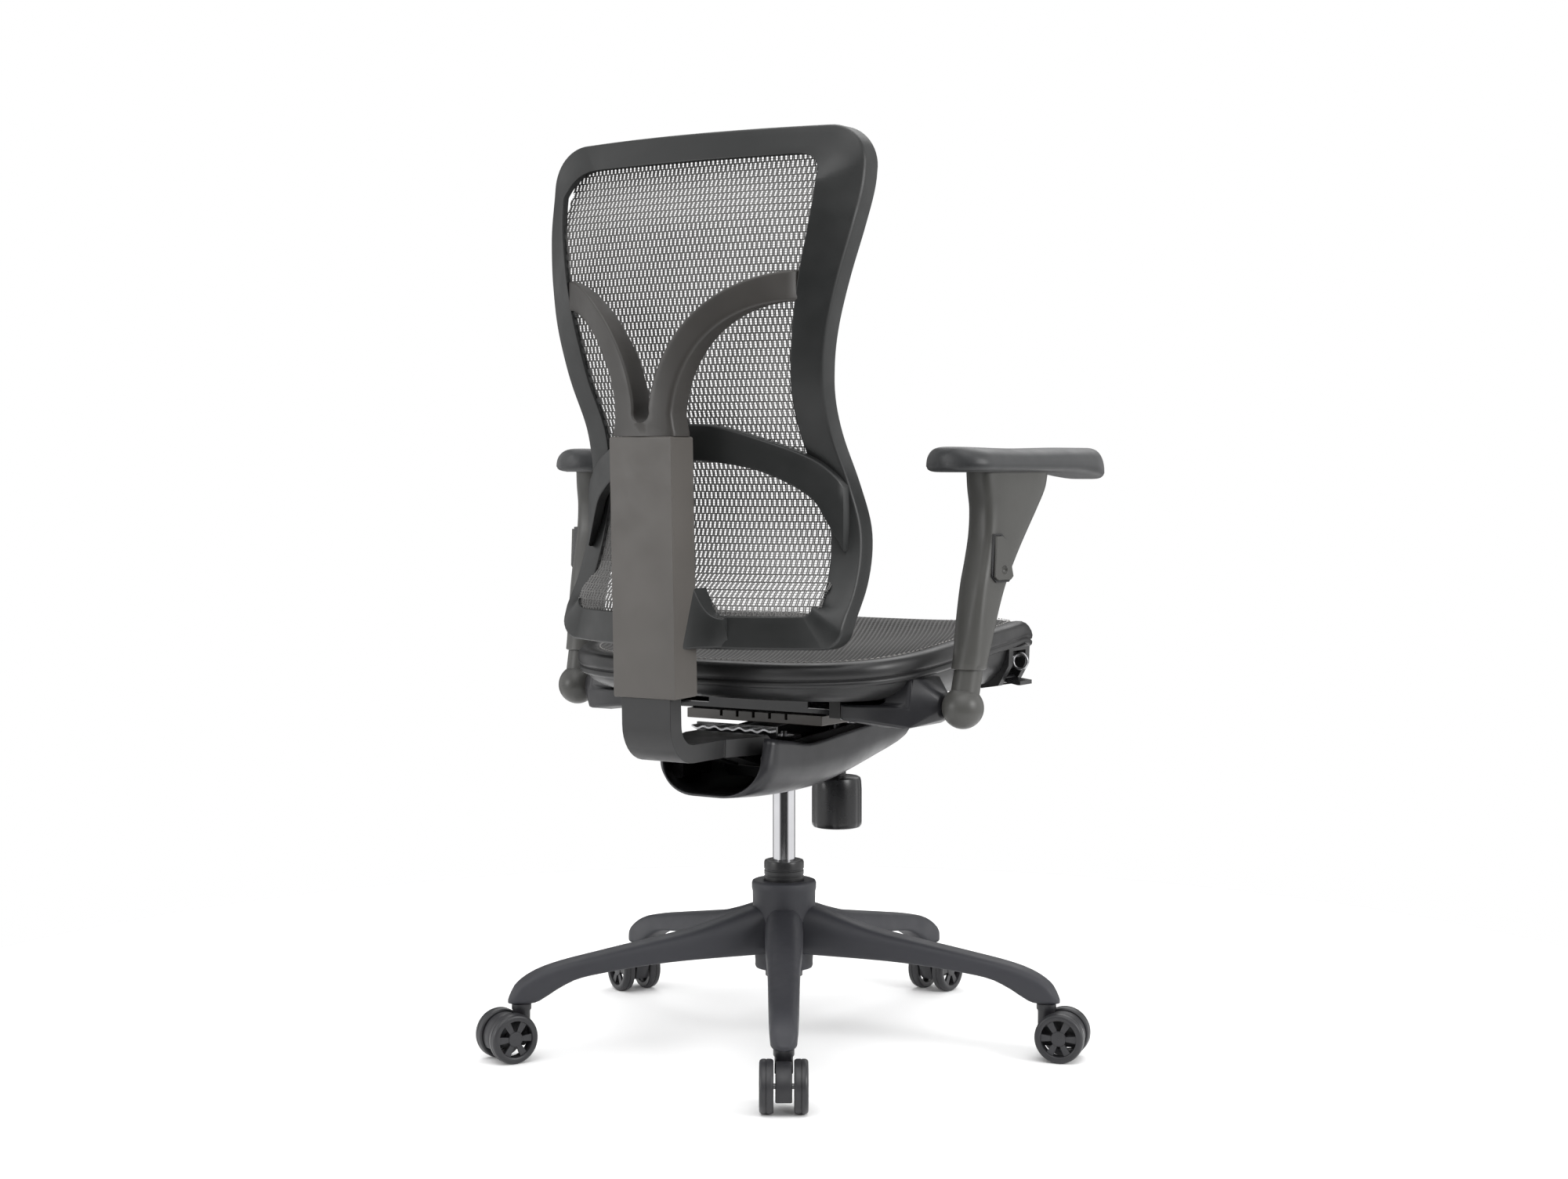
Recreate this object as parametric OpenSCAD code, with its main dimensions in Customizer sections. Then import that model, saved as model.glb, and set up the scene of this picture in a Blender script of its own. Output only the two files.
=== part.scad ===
// Swivel office chair with a mesh seat and back. Millimetres, +Z up.
// The origin is on the floor under the gas lift. The sitter faces -Y, and
// the sitter's left is +X.

/* [Base] */
// Distance from the centre line to each caster's stem
base_reach = 336; // [325:1:345]
// Direction of the first leg, turned from +X
base_turn = 122.8; // [0:0.1:360]
// Number of legs and casters
leg_count = 5; // [5]
// Height of the hub's top face
hub_top = 200; // [195:1:204]
// Height of the hub's lower rim
hub_bottom = 90; // [88:1:96]
// Width of a leg beside the hub
leg_root_w = 49; // [44:1:54]
// Width of a leg at its tip
leg_tip_w = 31; // [29:1:33]

/* [Casters] */
// Wheel diameter
wheel_d = 60; // [56:1:62]
// Width of one wheel
wheel_w = 16; // [14:0.5:17]
// Gap between the two wheels of a caster
wheel_gap = 23; // [22:0.5:25]
// Distance from the stem to the axle
caster_trail = 20; // [16:1:21]
// Windows in each wheel's hub disc
wheel_windows = 6; // [4:1:8]

/* [Gas lift] */
// Outer diameter of the steel column
column_d = 50; // [50]
// Diameter of the chrome cylinder
cylinder_d = 28; // [28]
// Height of the column's top
column_top = 225; // [220:1:228]

/* [Mechanism] */
// Height of the pivot that the back bar turns on
recline_z = 368; // [366:1:370]
// How far behind the centre line that pivot is
recline_y = 45; // [42:1:48]
// Height of the front pivot of the seat plate
tilt_z = 398; // [396:1:398]
// How far that pivot is behind the centre line
tilt_y = -140; // [-144:1:-138]
// Diameter of the tension knob
knob_d = 65; // [58:1:66]
// How far the tension knob is behind the centre line
knob_y = -127; // [-130:1:-124]

/* [Back] */
// Lean of the spine from upright, in degrees
spine_lean = 1.7; // [1.7]
// Width of the spine cover
spine_w = 88; // [84:1:90]
// Depth of the spine cover
spine_depth = 44; // [42:1:45]
// Height of the frame's top edge
frame_top = 1118; // [1116:1:1120]
// Height of the frame's bottom edge
frame_bottom = 508; // [508:1:512]
// Width of the back bar
bar_w = 70; // [66:1:72]
// Thickness of the back bar
bar_t = 22; // [20:1:22]

/* [Seat] */
// Half of the seat's width
seat_half_w = 250; // [240:1:252]
// Rear edge of the seat
seat_rear = 200; // [190:1:202]
// Front edge of the seat
seat_front = -310; // [-320:1:-300]
// Height of the rim's top at the rear
seat_rear_z = 490; // [488:1:491]
// Height of the rim's top at the front
seat_front_z = 526; // [520:1:530]

/* [Arms] */
// Distance from the centre plane to each arm's ball
arm_x = 285.6; // [284:0.1:290]
// Forward lean of the arm stems, in degrees
arm_lean = 14; // [12:1:15]
// How far the arms turn outward, in degrees
arm_toe = 10; // [8:1:12]
// Length of an arm pad
pad_length = 290; // [260:1:292]
// Width of an arm pad
pad_width = 90; // [80:1:92]

/* [Hidden] */
$fn = 48;
running = 0.05;          // radial gap of a shaft in its bore
leg_turns = [for (k = [0:leg_count - 1]) base_turn + 360 / leg_count * k];
caster_turns = [0, 0, 0, -6, 14];  // how far each caster has swung from its leg's line
socket_floor = 68;       // underside of a leg's tip
stem_d = 11;
socket_depth = 15;
axle_d = 6;
axle_z = wheel_d / 2;
column_floor = 78;
bush_length = 55;
rod_d = 10;
cylinder_foot = 180;     // lower end of the gas cylinder
socket_top = 382;        // upper end of the gas cylinder, in the chassis
chassis_floor = 336;
chassis_front_top = 392;  // the chassis's rim slopes to the rear, below the tilting plate
chassis_rear_top = 380;
chassis_half = 42;
pivot_d = 12;
front_pin_d = 10;
plate_z = 405;           // underside of the seat plate
plate_t = 12;
plate_half = 100;
tray_half = 128;
tray_z = plate_z + plate_t;
tray_top = 440;
spine_foot = 451.6;
spine_head = 755;
spine_rear = 298;        // rear face of the spine cover at its foot
arm_y = 54;
ball_z = 436;
ball_r = 25;
arm_stem_r = 17;
pad_under = 713.6;
pad_top = 744;

// ---------------------------------------------------------------- curves

// A smooth curve through [[key, value], ...], read at one key.
function slope_at(t, j) = let (a = max(j - 1, 0), b = min(j + 1, len(t) - 1))
    (t[b][1] - t[a][1]) / (t[b][0] - t[a][0]);
function span_of(t, v) = max([for (j = [0:len(t) - 2]) if (j == 0 || v >= t[j][0]) j]);
function smooth(t, v) = let (j = span_of(t, v), x0 = t[j][0], w = t[j + 1][0] - x0,
    s = min(1, max(0, (v - x0) / w)), s2 = s * s, s3 = s2 * s)
    t[j][1] * (2 * s3 - 3 * s2 + 1) + t[j + 1][1] * (3 * s2 - 2 * s3)
    + slope_at(t, j) * w * (s3 - 2 * s2 + s) + slope_at(t, j + 1) * w * (s3 - s2);
function steps(a, b, n) = [for (i = [0:n]) a + (b - a) * i / n];

// A closed tube of sections that joins its last section to its first.
module ring_of(sections) {
    n = len(sections);
    m = len(sections[0]);
    polyhedron([for (s = sections) each s],
        [for (i = [0:n - 1], j = [0:m - 1]) let (a = i * m, b = ((i + 1) % n) * m, k = (j + 1) % m)
            each [[a + j, b + j, b + k], [a + j, b + k, a + k]]]);
}

// A closed body of sections with flat ends.
module loft(sections) {
    n = len(sections);
    m = len(sections[0]);
    polyhedron([for (s = sections) each s], concat(
        [for (i = [0:n - 2], j = [0:m - 1]) let (a = i * m, b = a + m, k = (j + 1) % m)
            each [[a + j, b + j, b + k], [a + j, b + k, a + k]]],
        [[for (j = [0:m - 1]) j]], [[for (j = [m - 1:-1:0]) (n - 1) * m + j]]));
}

// A thin sheet between two grids of points of the same size.
module sheet(upper, lower) {
    n = len(upper);
    m = len(upper[0]);
    q = n * m;
    polyhedron(concat([for (r = upper) each r], [for (r = lower) each r]), concat(
        [for (i = [0:n - 2], j = [0:m - 2]) let (a = i * m + j)
            each [[a, a + m, a + m + 1], [a, a + m + 1, a + 1]]],
        [for (i = [0:n - 2], j = [0:m - 2]) let (a = q + i * m + j)
            each [[a, a + m + 1, a + m], [a, a + 1, a + m + 1]]],
        [for (i = [0:n - 2]) let (a = i * m)
            each [[a, a + q, a + q + m], [a, a + q + m, a + m]]],
        [for (i = [0:n - 2]) let (a = i * m + m - 1)
            each [[a, a + q + m, a + q], [a, a + m, a + q + m]]],
        [for (j = [0:m - 2]) let (a = j)
            each [[a, a + 1, a + q + 1], [a, a + q + 1, a + q]]],
        [for (j = [0:m - 2]) let (a = q - m + j)
            each [[a, a + q + 1, a + 1], [a, a + q, a + q + 1]]]));
}

// Extrudes a profile drawn in Y and Z across X, centred on the middle plane.
module across(width) {
    rotate([90, 0, 90]) translate([0, 0, -width / 2]) linear_extrude(width) children();
}

// Extrudes a profile drawn in X and Z along Y.
module through(from, to) {
    translate([0, to, 0]) rotate([90, 0, 0]) linear_extrude(to - from) children();
}

// ---------------------------------------------------------------- base

leg_upper = [[0, 170], [42, 168], [85, 155], [125, 144], [181, 133.5], [237, 123.5],
    [292, 113], [320, 104], [341, 90], [352, 72]];
leg_lower = [[0, 110], [125, 108], [181, 105], [237, 99], [270, 93.5], [292, 84], [309, 74],
    [322, 68]];

module leg_side() {
    polygon(concat(
        [for (r = concat(steps(0, 320, 16), [331, 341, 347, 352])) [r, smooth(leg_upper, r)]],
        [[352, socket_floor]],
        [for (r = steps(322, 0, 16)) [r, smooth(leg_lower, r)]]));
}

module leg_plan() {
    half = [[0, leg_root_w / 2], [60, leg_root_w / 2 - 1], [180, leg_tip_w / 2 + 4],
        [296, leg_tip_w / 2 + 2], [337, leg_tip_w / 2]];
    edge = [for (r = steps(0, 337, 12)) [r, smooth(half, r)]];
    tip = [for (a = [75:-15:-75]) [337 + leg_tip_w / 2 * cos(a), leg_tip_w / 2 * sin(a)]];
    polygon(concat(edge, tip, [for (i = [len(edge) - 1:-1:0]) [edge[i][0], -edge[i][1]]]));
}

module leg() {
    intersection() {
        translate([0, leg_root_w / 2 + 1, 0]) rotate([90, 0, 0])
            linear_extrude(leg_root_w + 2) leg_side();
        linear_extrude(hub_top) leg_plan();
    }
}

module column_taper(clear = 0) {
    translate([0, 0, column_floor]) cylinder(h = 72, r1 = 23.5 + clear, r2 = column_d / 2 + clear);
    translate([0, 0, 150]) cylinder(h = column_top - 150, d = column_d + 2 * clear);
}

module star_base() {
    color("#33343a") difference() {
        union() {
            translate([0, 0, 150]) cylinder(h = hub_top - 150, r1 = 39.5, r2 = 40.5);
            translate([0, 0, hub_bottom]) cylinder(h = 150 - hub_bottom, r1 = 36, r2 = 39.5);
            for (turn = leg_turns) rotate(turn) leg();
        }
        column_taper();
        for (turn = leg_turns) rotate(turn) translate([base_reach, 0, socket_floor - 1])
            cylinder(h = socket_depth + 1, r = stem_d / 2 + running);
    }
}

module gas_column() {
    color("#141414") difference() {
        column_taper();
        translate([0, 0, column_floor + 8]) cylinder(h = 200, d = 38);
        translate([0, 0, column_floor - 1]) cylinder(h = 20, d = 14);
    }
}

module column_bush() {
    color("#202020") translate([0, 0, column_top - bush_length]) difference() {
        cylinder(h = bush_length, d = 38);
        translate([0, 0, -1]) cylinder(h = bush_length + 2, r = cylinder_d / 2 + running);
    }
}

module column_clip() {
    color("silver") translate([0, 0, column_floor - 3.5]) difference() {
        cylinder(h = 3, d = 24);
        translate([0, 0, -1]) cylinder(h = 5, r = rod_d / 2);
        translate([0, -2, -1]) cube([20, 4, 5]);
    }
}

module thrust_bearing() {
    color("silver") translate([0, 0, column_floor + 8.5]) difference() {
        cylinder(h = 7, d = 30);
        translate([0, 0, -1]) cylinder(h = 9, r = rod_d / 2 + running);
    }
}

module piston_rod() {
    color("silver") {
        translate([0, 0, column_floor - 4]) cylinder(h = 148, d = rod_d);
        translate([0, 0, column_floor + 16]) cylinder(h = 4, d = 20);
        translate([0, 0, 222]) cylinder(h = 12, d = 22);
    }
}

// ---------------------------------------------------------------- casters

// Places children at one caster, with its trail along +X.
module at_caster(k) {
    rotate(leg_turns[k - 1]) translate([base_reach, 0, 0]) rotate(caster_turns[k - 1]) children();
}

module on_axle(from, to) {
    translate([caster_trail, from, axle_z]) rotate([-90, 0, 0]) linear_extrude(to - from) children();
}

module caster_housing(k) {
    hood_half = 9.5;
    color("#26262a") at_caster(k) difference() {
        union() {
            intersection() {
                on_axle(-hood_half, hood_half) circle(r = 27);
                translate([-20, -20, 17]) cube([80, 40, 60]);
            }
            translate([-8, -hood_half, 24]) cube([20, 2 * hood_half, 37]);
            translate([0, 0, 61]) cylinder(h = socket_floor - 61.5, d = 24);
        }
        on_axle(-20, 20) circle(d = axle_d);
        translate([0, 0, 50]) cylinder(h = 30, d = stem_d);
    }
}

module caster_pins(k) {
    reach = wheel_gap / 2 + wheel_w - 3;
    color("silver") at_caster(k) {
        translate([0, 0, 50]) cylinder(h = socket_floor + socket_depth - 0.5 - 50, d = stem_d);
        on_axle(-reach, reach) circle(d = axle_d);
    }
}

module wheel_windows_cut() {
    inner = 11;
    outer = 20.5;
    for (i = [0:wheel_windows - 1]) rotate(360 / wheel_windows * i)
        polygon([[inner, -2.6], [outer - 1, -5.6], [outer, -4], [outer, 4], [outer - 1, 5.6],
            [inner, 2.6]]);
}

module wheel() {
    near = wheel_gap / 2;
    far = near + wheel_w;
    difference() {
        on_axle(near, far) circle(d = wheel_d);
        on_axle(near - 1, far - 6) difference() {
            circle(r = 22.5);
            circle(r = 8);
        }
        on_axle(far - 2, far + 1) circle(r = 21.5);
        on_axle(near - 1, far + 1) circle(r = axle_d / 2 + running);
        on_axle(near - 1, far + 1) wheel_windows_cut();
    }
}

module caster_wheels(k) {
    color("#1b1b1d") at_caster(k) for (flip = [0, 1]) mirror([0, flip, 0]) wheel();
}

// ---------------------------------------------------------------- lift and mechanism

module gas_cylinder() {
    color("#d8d8da") difference() {
        union() {
            translate([0, 0, cylinder_foot]) cylinder(h = 340 - cylinder_foot, d = cylinder_d);
            translate([0, 0, 340]) cylinder(h = socket_top - 340, r1 = cylinder_d / 2, r2 = 13);
        }
        translate([0, 0, cylinder_foot + 12]) cylinder(h = 150, d = 24);
        translate([0, 0, cylinder_foot - 1]) cylinder(h = 20, r = rod_d / 2 + running);
        translate([0, 0, 320]) cylinder(h = 100, r = 4 + running);
    }
}

module valve_pin() {
    color("silver") translate([0, 0, 350]) cylinder(h = 37, r = 4);
}

module chassis_side(inset) {
    above = 3 * inset;       // the hollow runs out through the open top
    polygon([[-164 + inset, 366 + inset], [-127, 350 + inset], [-60, chassis_floor + inset],
        [64 - inset, chassis_floor + inset], [74 - inset, 350 + inset],
        [74 - inset, chassis_rear_top + above], [-158 + inset, chassis_front_top + above],
        [-164 + inset, 388 + above]]);
}

module mechanism_chassis() {
    wall = 4;
    color("#2b2b2d") difference() {
        union() {
            difference() {
                across(2 * chassis_half) chassis_side(0);
                across(2 * (chassis_half - wall)) chassis_side(wall);
            }
            translate([0, 0, chassis_floor]) cylinder(h = 46, d = 44);
        }
        translate([0, 0, 330]) cylinder(h = 10, r = cylinder_d / 2);
        translate([0, 0, 340]) cylinder(h = socket_top - 340, r1 = cylinder_d / 2, r2 = 13);
        translate([0, 0, socket_top - 1]) cylinder(h = 20, d = 26);
        translate([0, knob_y, 330]) cylinder(h = 30, d = 11);
        translate([0, recline_y, recline_z]) rotate([0, 90, 0])
            cylinder(h = 200, d = pivot_d, center = true);
        translate([0, tilt_y, tilt_z - 12]) rotate([0, 90, 0])
            cylinder(h = 200, d = front_pin_d, center = true);
    }
}

// The outer form of the boat-shaped cover, shrunk by inset for its hollow.
keel = [[-196, 377], [-186, 364], [-165, 354], [-127, 344], [-70, 332], [0, 322],
    [90, 321], [172, 326]];
module boat_form(inset) {
    rear = inset > 0 ? 40 : 0;
    intersection() {
        across(200) polygon(concat(
            [for (y = steps(-196 + 3 * inset, 172, 24)) [y, smooth(keel, y) + inset]],
            [[172 + rear, 330 + inset], [152 + rear, 395 + rear], [120, 391 + rear],
                [70, 383 + rear], [0, 388 + rear], [-100, 394 + rear],
                [-196 + 3 * inset, 395 + rear]]));
        translate([0, 0, 300]) linear_extrude(100) polygon(concat(
            [for (a = [180:-15:90]) [-62 + inset + 18 * cos(a), 158 + rear + 14 * sin(a)]],
            [for (a = [90:-15:0]) [62 - inset + 18 * cos(a), 158 + rear + 14 * sin(a)]],
            [for (a = [0:-15:-90]) [54 - inset + 26 * cos(a), -170 + 26 * sin(a) + inset]],
            [for (a = [270:-15:180]) [-54 + inset + 26 * cos(a), -170 + 26 * sin(a) + inset]]));
        through(-220, 240) polygon(concat([[-80 + inset, 420]],
            [for (a = [180:10:270]) [-38 + inset + 42 * cos(a), 352 + 34 * sin(a) + inset]],
            [for (a = [270:10:360]) [38 - inset + 42 * cos(a), 352 + 34 * sin(a) + inset]],
            [[80 - inset, 420]]));
    }
}

module mechanism_cover() {
    color("#232326") difference() {
        boat_form(0);
        boat_form(2.5);
        cylinder(h = 400, d = 36);
        translate([0, knob_y, 300]) cylinder(h = 60, d = 30);
    }
}

// The castings in the sides of the cover's rear opening, and a wall on two posts behind the strip.
module rear_castings() {
    color("#0c0c0d") for (side = [-1, 1]) {
        translate([side * 64.5, 78, 356]) hull() for (dx = [-4, 4], dz = [-14, 14])
            translate([dx, 0, dz]) rotate([-90, 0, 0]) cylinder(h = 62, r = 3.5, $fn = 24);
        translate([side * 37 - 3.5, 78, 350]) cube([7, 5, 38]);
    }
    color("#0c0c0d") translate([-42, 79, 384]) cube([118, 4, 18]);
}

// A wavy flat spring whose edge shows behind the plate.
module spring_strip() {
    color("silver") translate([0, 83, 0]) rotate([-90, 0, 0]) linear_extrude(12) polygon(concat(
        [for (x = [-42:2:76]) [x, -strip_line(x)]], [for (x = [76:-2:-42]) [x, -strip_line(x) - 2.2]]));
}
function strip_line(x) = 396 + 1.2 * sin(x * 20) + 0.8 * sin(x * 8.6 + 57);

module pivot_pins() {
    color("silver") {
        translate([0, recline_y, recline_z]) rotate([0, 90, 0])
            cylinder(h = 116, d = pivot_d, center = true);
        translate([0, tilt_y, tilt_z - 12]) rotate([0, 90, 0])
            cylinder(h = 112, d = front_pin_d, center = true);
    }
}

module tilt_spring() {
    turns = 3;
    wire = 1.7;
    coil_r = 11;
    low = 363;
    rise = (377 - low) / turns;
    color("#b0b0b0") translate([0, knob_y, low]) loft([for (i = [0:turns * 12])
        let (a = i * 30, z = rise * i / 12)
        [for (b = [0:60:300]) [(coil_r + wire * cos(b)) * cos(a), (coil_r + wire * cos(b)) * sin(a),
            z + wire * sin(b)]]]);
}

module tension_knob() {
    grip_h = 66;
    ridges = 24;
    color("#161618") translate([0, knob_y, 250.5]) difference() {
        union() {
            cylinder(h = 4, r1 = knob_d / 2 - 3, r2 = knob_d / 2);
            translate([0, 0, 4]) cylinder(h = grip_h - 8, d = knob_d);
            translate([0, 0, grip_h - 4]) cylinder(h = 4, r1 = knob_d / 2, r2 = knob_d / 2 - 2);
            translate([0, 0, grip_h]) cylinder(h = 30, d = 24);
        }
        translate([0, 0, 24]) cylinder(h = 100, d = 10);
        for (i = [0:ridges - 1]) rotate(360 / ridges * i) translate([knob_d / 2 + 1.2, 0, 8])
            cylinder(h = grip_h - 16, r = 2.2);
    }
}

module tension_bolt() {
    color("silver") translate([0, knob_y, 0]) {
        translate([0, 0, 274.5]) cylinder(h = 118, d = 10);
        translate([0, 0, 392]) cylinder(h = 5, d = 36);
    }
}

// ---------------------------------------------------------------- seat support

module seat_plate() {
    lug_t = 7;
    color("#3a3632") difference() {
        union() {
            translate([-plate_half, -165, plate_z]) cube([2 * plate_half, 235, plate_t]);
            for (side = [-1, 1]) translate([side * (chassis_half + 3 + lug_t / 2), tilt_y, 0])
                hull() {
                    translate([-lug_t / 2, -14, plate_z - 1]) cube([lug_t, 28, 6]);
                    translate([0, 0, tilt_z - 12]) rotate([0, 90, 0])
                        cylinder(h = lug_t, d = 24, center = true);
                }
        }
        translate([0, tilt_y, tilt_z - 12]) rotate([0, 90, 0])
            cylinder(h = 200, r = front_pin_d / 2 + running, center = true);
        for (i = [-2:2]) translate([i * 24 - 1.5, 58, plate_z + 5]) cube([3, 20, 20]);
        for (x = [-70, 70], y = [-110, 40]) translate([x, y, plate_z - 1]) cylinder(h = 20, d = 6);
    }
}

module slide_tray() {
    color("#101012") difference() {
        translate([-tray_half, -150, tray_z]) cube([2 * tray_half, 210, tray_top - tray_z]);
        translate([-tray_half + 4, -144, tray_z + 4]) cube([2 * tray_half - 8, 198, 60]);
        for (x = [-70, 70], y = [-110, 40]) translate([x, y, tray_z - 1]) cylinder(h = 20, d = 6);
        for (side = [-1, 1]) translate([side * 95 - 20, 50, tray_z + 9]) cube([40, 20, 8]);
    }
}

module tray_screws() {
    color("silver") for (x = [-70, 70], y = [-110, 40]) translate([x, y, 0]) {
        translate([0, 0, plate_z + 1]) cylinder(h = tray_z + 4 - plate_z - 1, d = 6);
        translate([0, 0, tray_z + 4]) cylinder(h = 4, d = 11);
    }
}

// ---------------------------------------------------------------- back bar and backrest

// Turns a profile drawn upright at the spine's foot to the spine's lean.
module leaning() {
    translate([0, spine_rear, spine_foot]) rotate([-spine_lean, 0, 0]) children();
}

module bar_profile() {
    bend = 46;
    low = 374;
    rear = spine_rear - 2.5;
    lean = tan(spine_lean);
    head = 690;
    foot = low + bend;
    function rear_at(z) = rear + lean * (z - spine_foot);
    r0 = rear_at(foot);
    polygon(concat(
        [[rear_at(head) - bar_t, head], [rear_at(head), head]],
        [for (a = [0:-10:-90]) [r0 - bend + bend * cos(a), foot + bend * sin(a)]],
        [[118, low], [118, low + bar_t]],
        [for (a = [-90:10:0]) [r0 - bend + (bend - bar_t) * cos(a),
            foot + (bend - bar_t) * sin(a)]]));
}

module bar_fork() {
    polygon([[recline_y - 13, recline_z - 7], [recline_y - 7, recline_z - 13],
        [recline_y + 15, recline_z - 11], [112, 374], [150, 374], [185, 374], [185, 396],
        [118, 396], [100, 382], [recline_y - 8, 380], [recline_y - 13, 375]]);
}

module back_bar() {
    fork_t = 8;
    inner = chassis_half + 3;
    color("#1d1d1f") union() {
        difference() {
            union() {
                across(bar_w) bar_profile();
                intersection() {
                    across(2 * (inner + fork_t)) bar_fork();
                    linear_extrude(500) polygon([[inner + fork_t, 0], [inner + fork_t, 140],
                        [bar_w / 2, 190], [-bar_w / 2, 190], [-inner - fork_t, 140],
                        [-inner - fork_t, 0]]);
                }
            }
            translate([-inner, 0, 300]) cube([2 * inner, 112, 200]);
            translate([0, recline_y, recline_z]) rotate([0, 90, 0])
                cylinder(h = 200, r = pivot_d / 2 + running, center = true);
            for (i = [0:5]) leaning() translate([-6, -30, 140 + 12 * i]) cube([12, 12, 5]);
        }
        for (side = [-1, 1]) translate([side * 22, 0, 0]) across(30)
            polygon([[92, 353], [140, 366], [163, 373], [163, 377], [114, 377], [92, 372]]);
    }
}

module height_ratchet() {
    color("#8a8a8a") leaning() translate([0, -34.5, 150]) {
        translate([-10, 0, 0]) cube([20, 6, 60]);
    }
}

module spine_cover() {
    height = (spine_head - spine_foot) / cos(spine_lean);
    slot_w = bar_w + 0.8;
    slot_t = bar_t + 0.9;
    color("#4a4743") difference() {
        leaning() difference() {
            translate([-spine_w / 2, -spine_depth, 0]) cube([spine_w, spine_depth, height + 4]);
            translate([-slot_w / 2, -2.1 - slot_t, -1]) cube([slot_w, slot_t, height - 14]);
            translate([-10, -34.5, 150]) cube([20, 12, 60]);
        }
        translate([-100, 150, spine_head]) cube([200, 250, 50]);
    }
}

function brace_rear(x) = 307 - 0.00272 * x * x;
function brace_depth(x) = 37 - 28 * pow(x / 168, 2);

module brace_outline() {
    end_x = 168;
    upper = [for (a = [4:8:84]) [end_x - 158 * pow(cos(a), 1.11), 780 + 166 * pow(sin(a), 1.11)]];
    lower = [for (a = [84:-8:4]) [end_x - 128 * cos(a), 770 + 140 * sin(a)]];
    arm = concat([[0, 770], [8, 773], [12.5, 781]], upper, [[end_x, 946], [end_x, 910]], lower,
        [[spine_w / 2, spine_head]]);
    polygon(concat(arm, [for (i = [len(arm) - 1:-1:1]) [-arm[i][0], arm[i][1]]]));
}

module y_brace() {
    xs = steps(-168, 168, 24);
    color("#3c3b39") intersection() {
        through(150, 320) brace_outline();
        linear_extrude(1000) polygon(concat([for (x = xs) [x, brace_rear(x)]],
            [for (i = [len(xs) - 1:-1:0]) [xs[i], brace_rear(xs[i]) - brace_depth(xs[i])]]));
    }
}

// The frame's outline: half width, depth of its outer rear edge, member width
// and how far the member's inner edge lies behind its outer edge, by height.
frame_half_w = [[508, 200], [560, 204], [640, 200], [700, 187], [770, 177], [840, 186],
    [920, 203], [1000, 220], [1050, 226], [1118, 225]];
frame_rear_y = [[508, 196], [540, 188], [580, 163], [620, 148], [660, 144], [700, 151],
    [760, 175], [820, 201], [880, 211], [940, 206], [1000, 193], [1060, 178], [1118, 176]];
frame_member = [[508, 33], [700, 36], [850, 38], [1000, 43], [1118, 45]];
frame_turn = [[508, 12], [850, 12], [950, 25], [1050, 38], [1118, 40]];
top_r = 50;
bottom_r = 25;
rail_h = 35;
crossbar_h = 39;
top_bow = 21;
bottom_bow = 59;

// One station of the half frame: outer x, z and y, then inner x, z and y.
function side_station(z) = let (w = smooth(frame_half_w, z), y = smooth(frame_rear_y, z),
    m = smooth(frame_member, z))
    [w, z, y, w - m, min(frame_top - rail_h - 14, max(frame_bottom + crossbar_h + 12, z)),
        y + smooth(frame_turn, z)];
function top_corner(a) = let (z1 = frame_top - top_r, w = smooth(frame_half_w, z1),
    y = smooth(frame_rear_y, z1 + top_r * sin(a)), m = smooth(frame_member, z1))
    [w - top_r + top_r * cos(a), z1 + top_r * sin(a), y,
        w - m - 20 + 20 * cos(a), frame_top - rail_h - 20 + 20 * sin(a),
        y + 40 - 20 * sin(a)];
function bottom_corner(a) = let (z1 = frame_bottom + bottom_r, w = smooth(frame_half_w, z1),
    y = smooth(frame_rear_y, z1 - bottom_r * sin(a)), m = 33)
    [w - bottom_r + bottom_r * cos(a), z1 - bottom_r * sin(a), y,
        w - m - 12 + 12 * cos(a), frame_bottom + crossbar_h + 12 - 12 * sin(a), y + 12];
function bow(x, w, by) = by * (1 - pow(abs(x) / w, 2));
function top_station(x) = let (w = 176, y = 176)
    [x, frame_top, y + bow(x, w, top_bow), x * (w - 15) / w, frame_top - rail_h,
        y + bow(x, w, top_bow) + 12 + 8 * pow(x / w, 2)];
function bottom_station(x) = let (w = 175, y = 196)
    [x, frame_bottom, y + bow(x, w, bottom_bow), x * (w - 21) / w, frame_bottom + crossbar_h,
        y + bow(x, w, bottom_bow - 8) + 12];
half_frame = concat(
    [for (x = steps(0, 150, 6)) bottom_station(x)],
    [for (a = [90:-30:0]) bottom_corner(a)],
    [for (z = steps(550, 1050, 22)) side_station(z)],
    [for (a = [0:18:90]) top_corner(a)],
    [for (x = steps(150, 0, 6)) top_station(x)]);

function frame_section(s, side) = let (front = 22, thin = 10) [
    [side * s[0], s[2] - front, s[1]], [side * s[0], s[2], s[1]],
    [side * s[3], s[5], s[4]], [side * s[3], s[5] - thin, s[4]]];

arch_upper = [[0, 771], [44, 769], [103, 752], [155, 730], [180, 707], [196, 680]];
arch_lower = [[0, 727], [44, 725.5], [103, 713], [155, 682], [172, 650], [196, 600]];
function arch_y(x) = 226 - 72 * pow(x / 196, 2);

module arch_slice(x) {
    lower = smooth(arch_lower, abs(x));
    translate([x - 0.5, arch_y(x) - 18, lower])
        cube([1, 18, smooth(arch_upper, abs(x)) - lower]);
}

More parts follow.
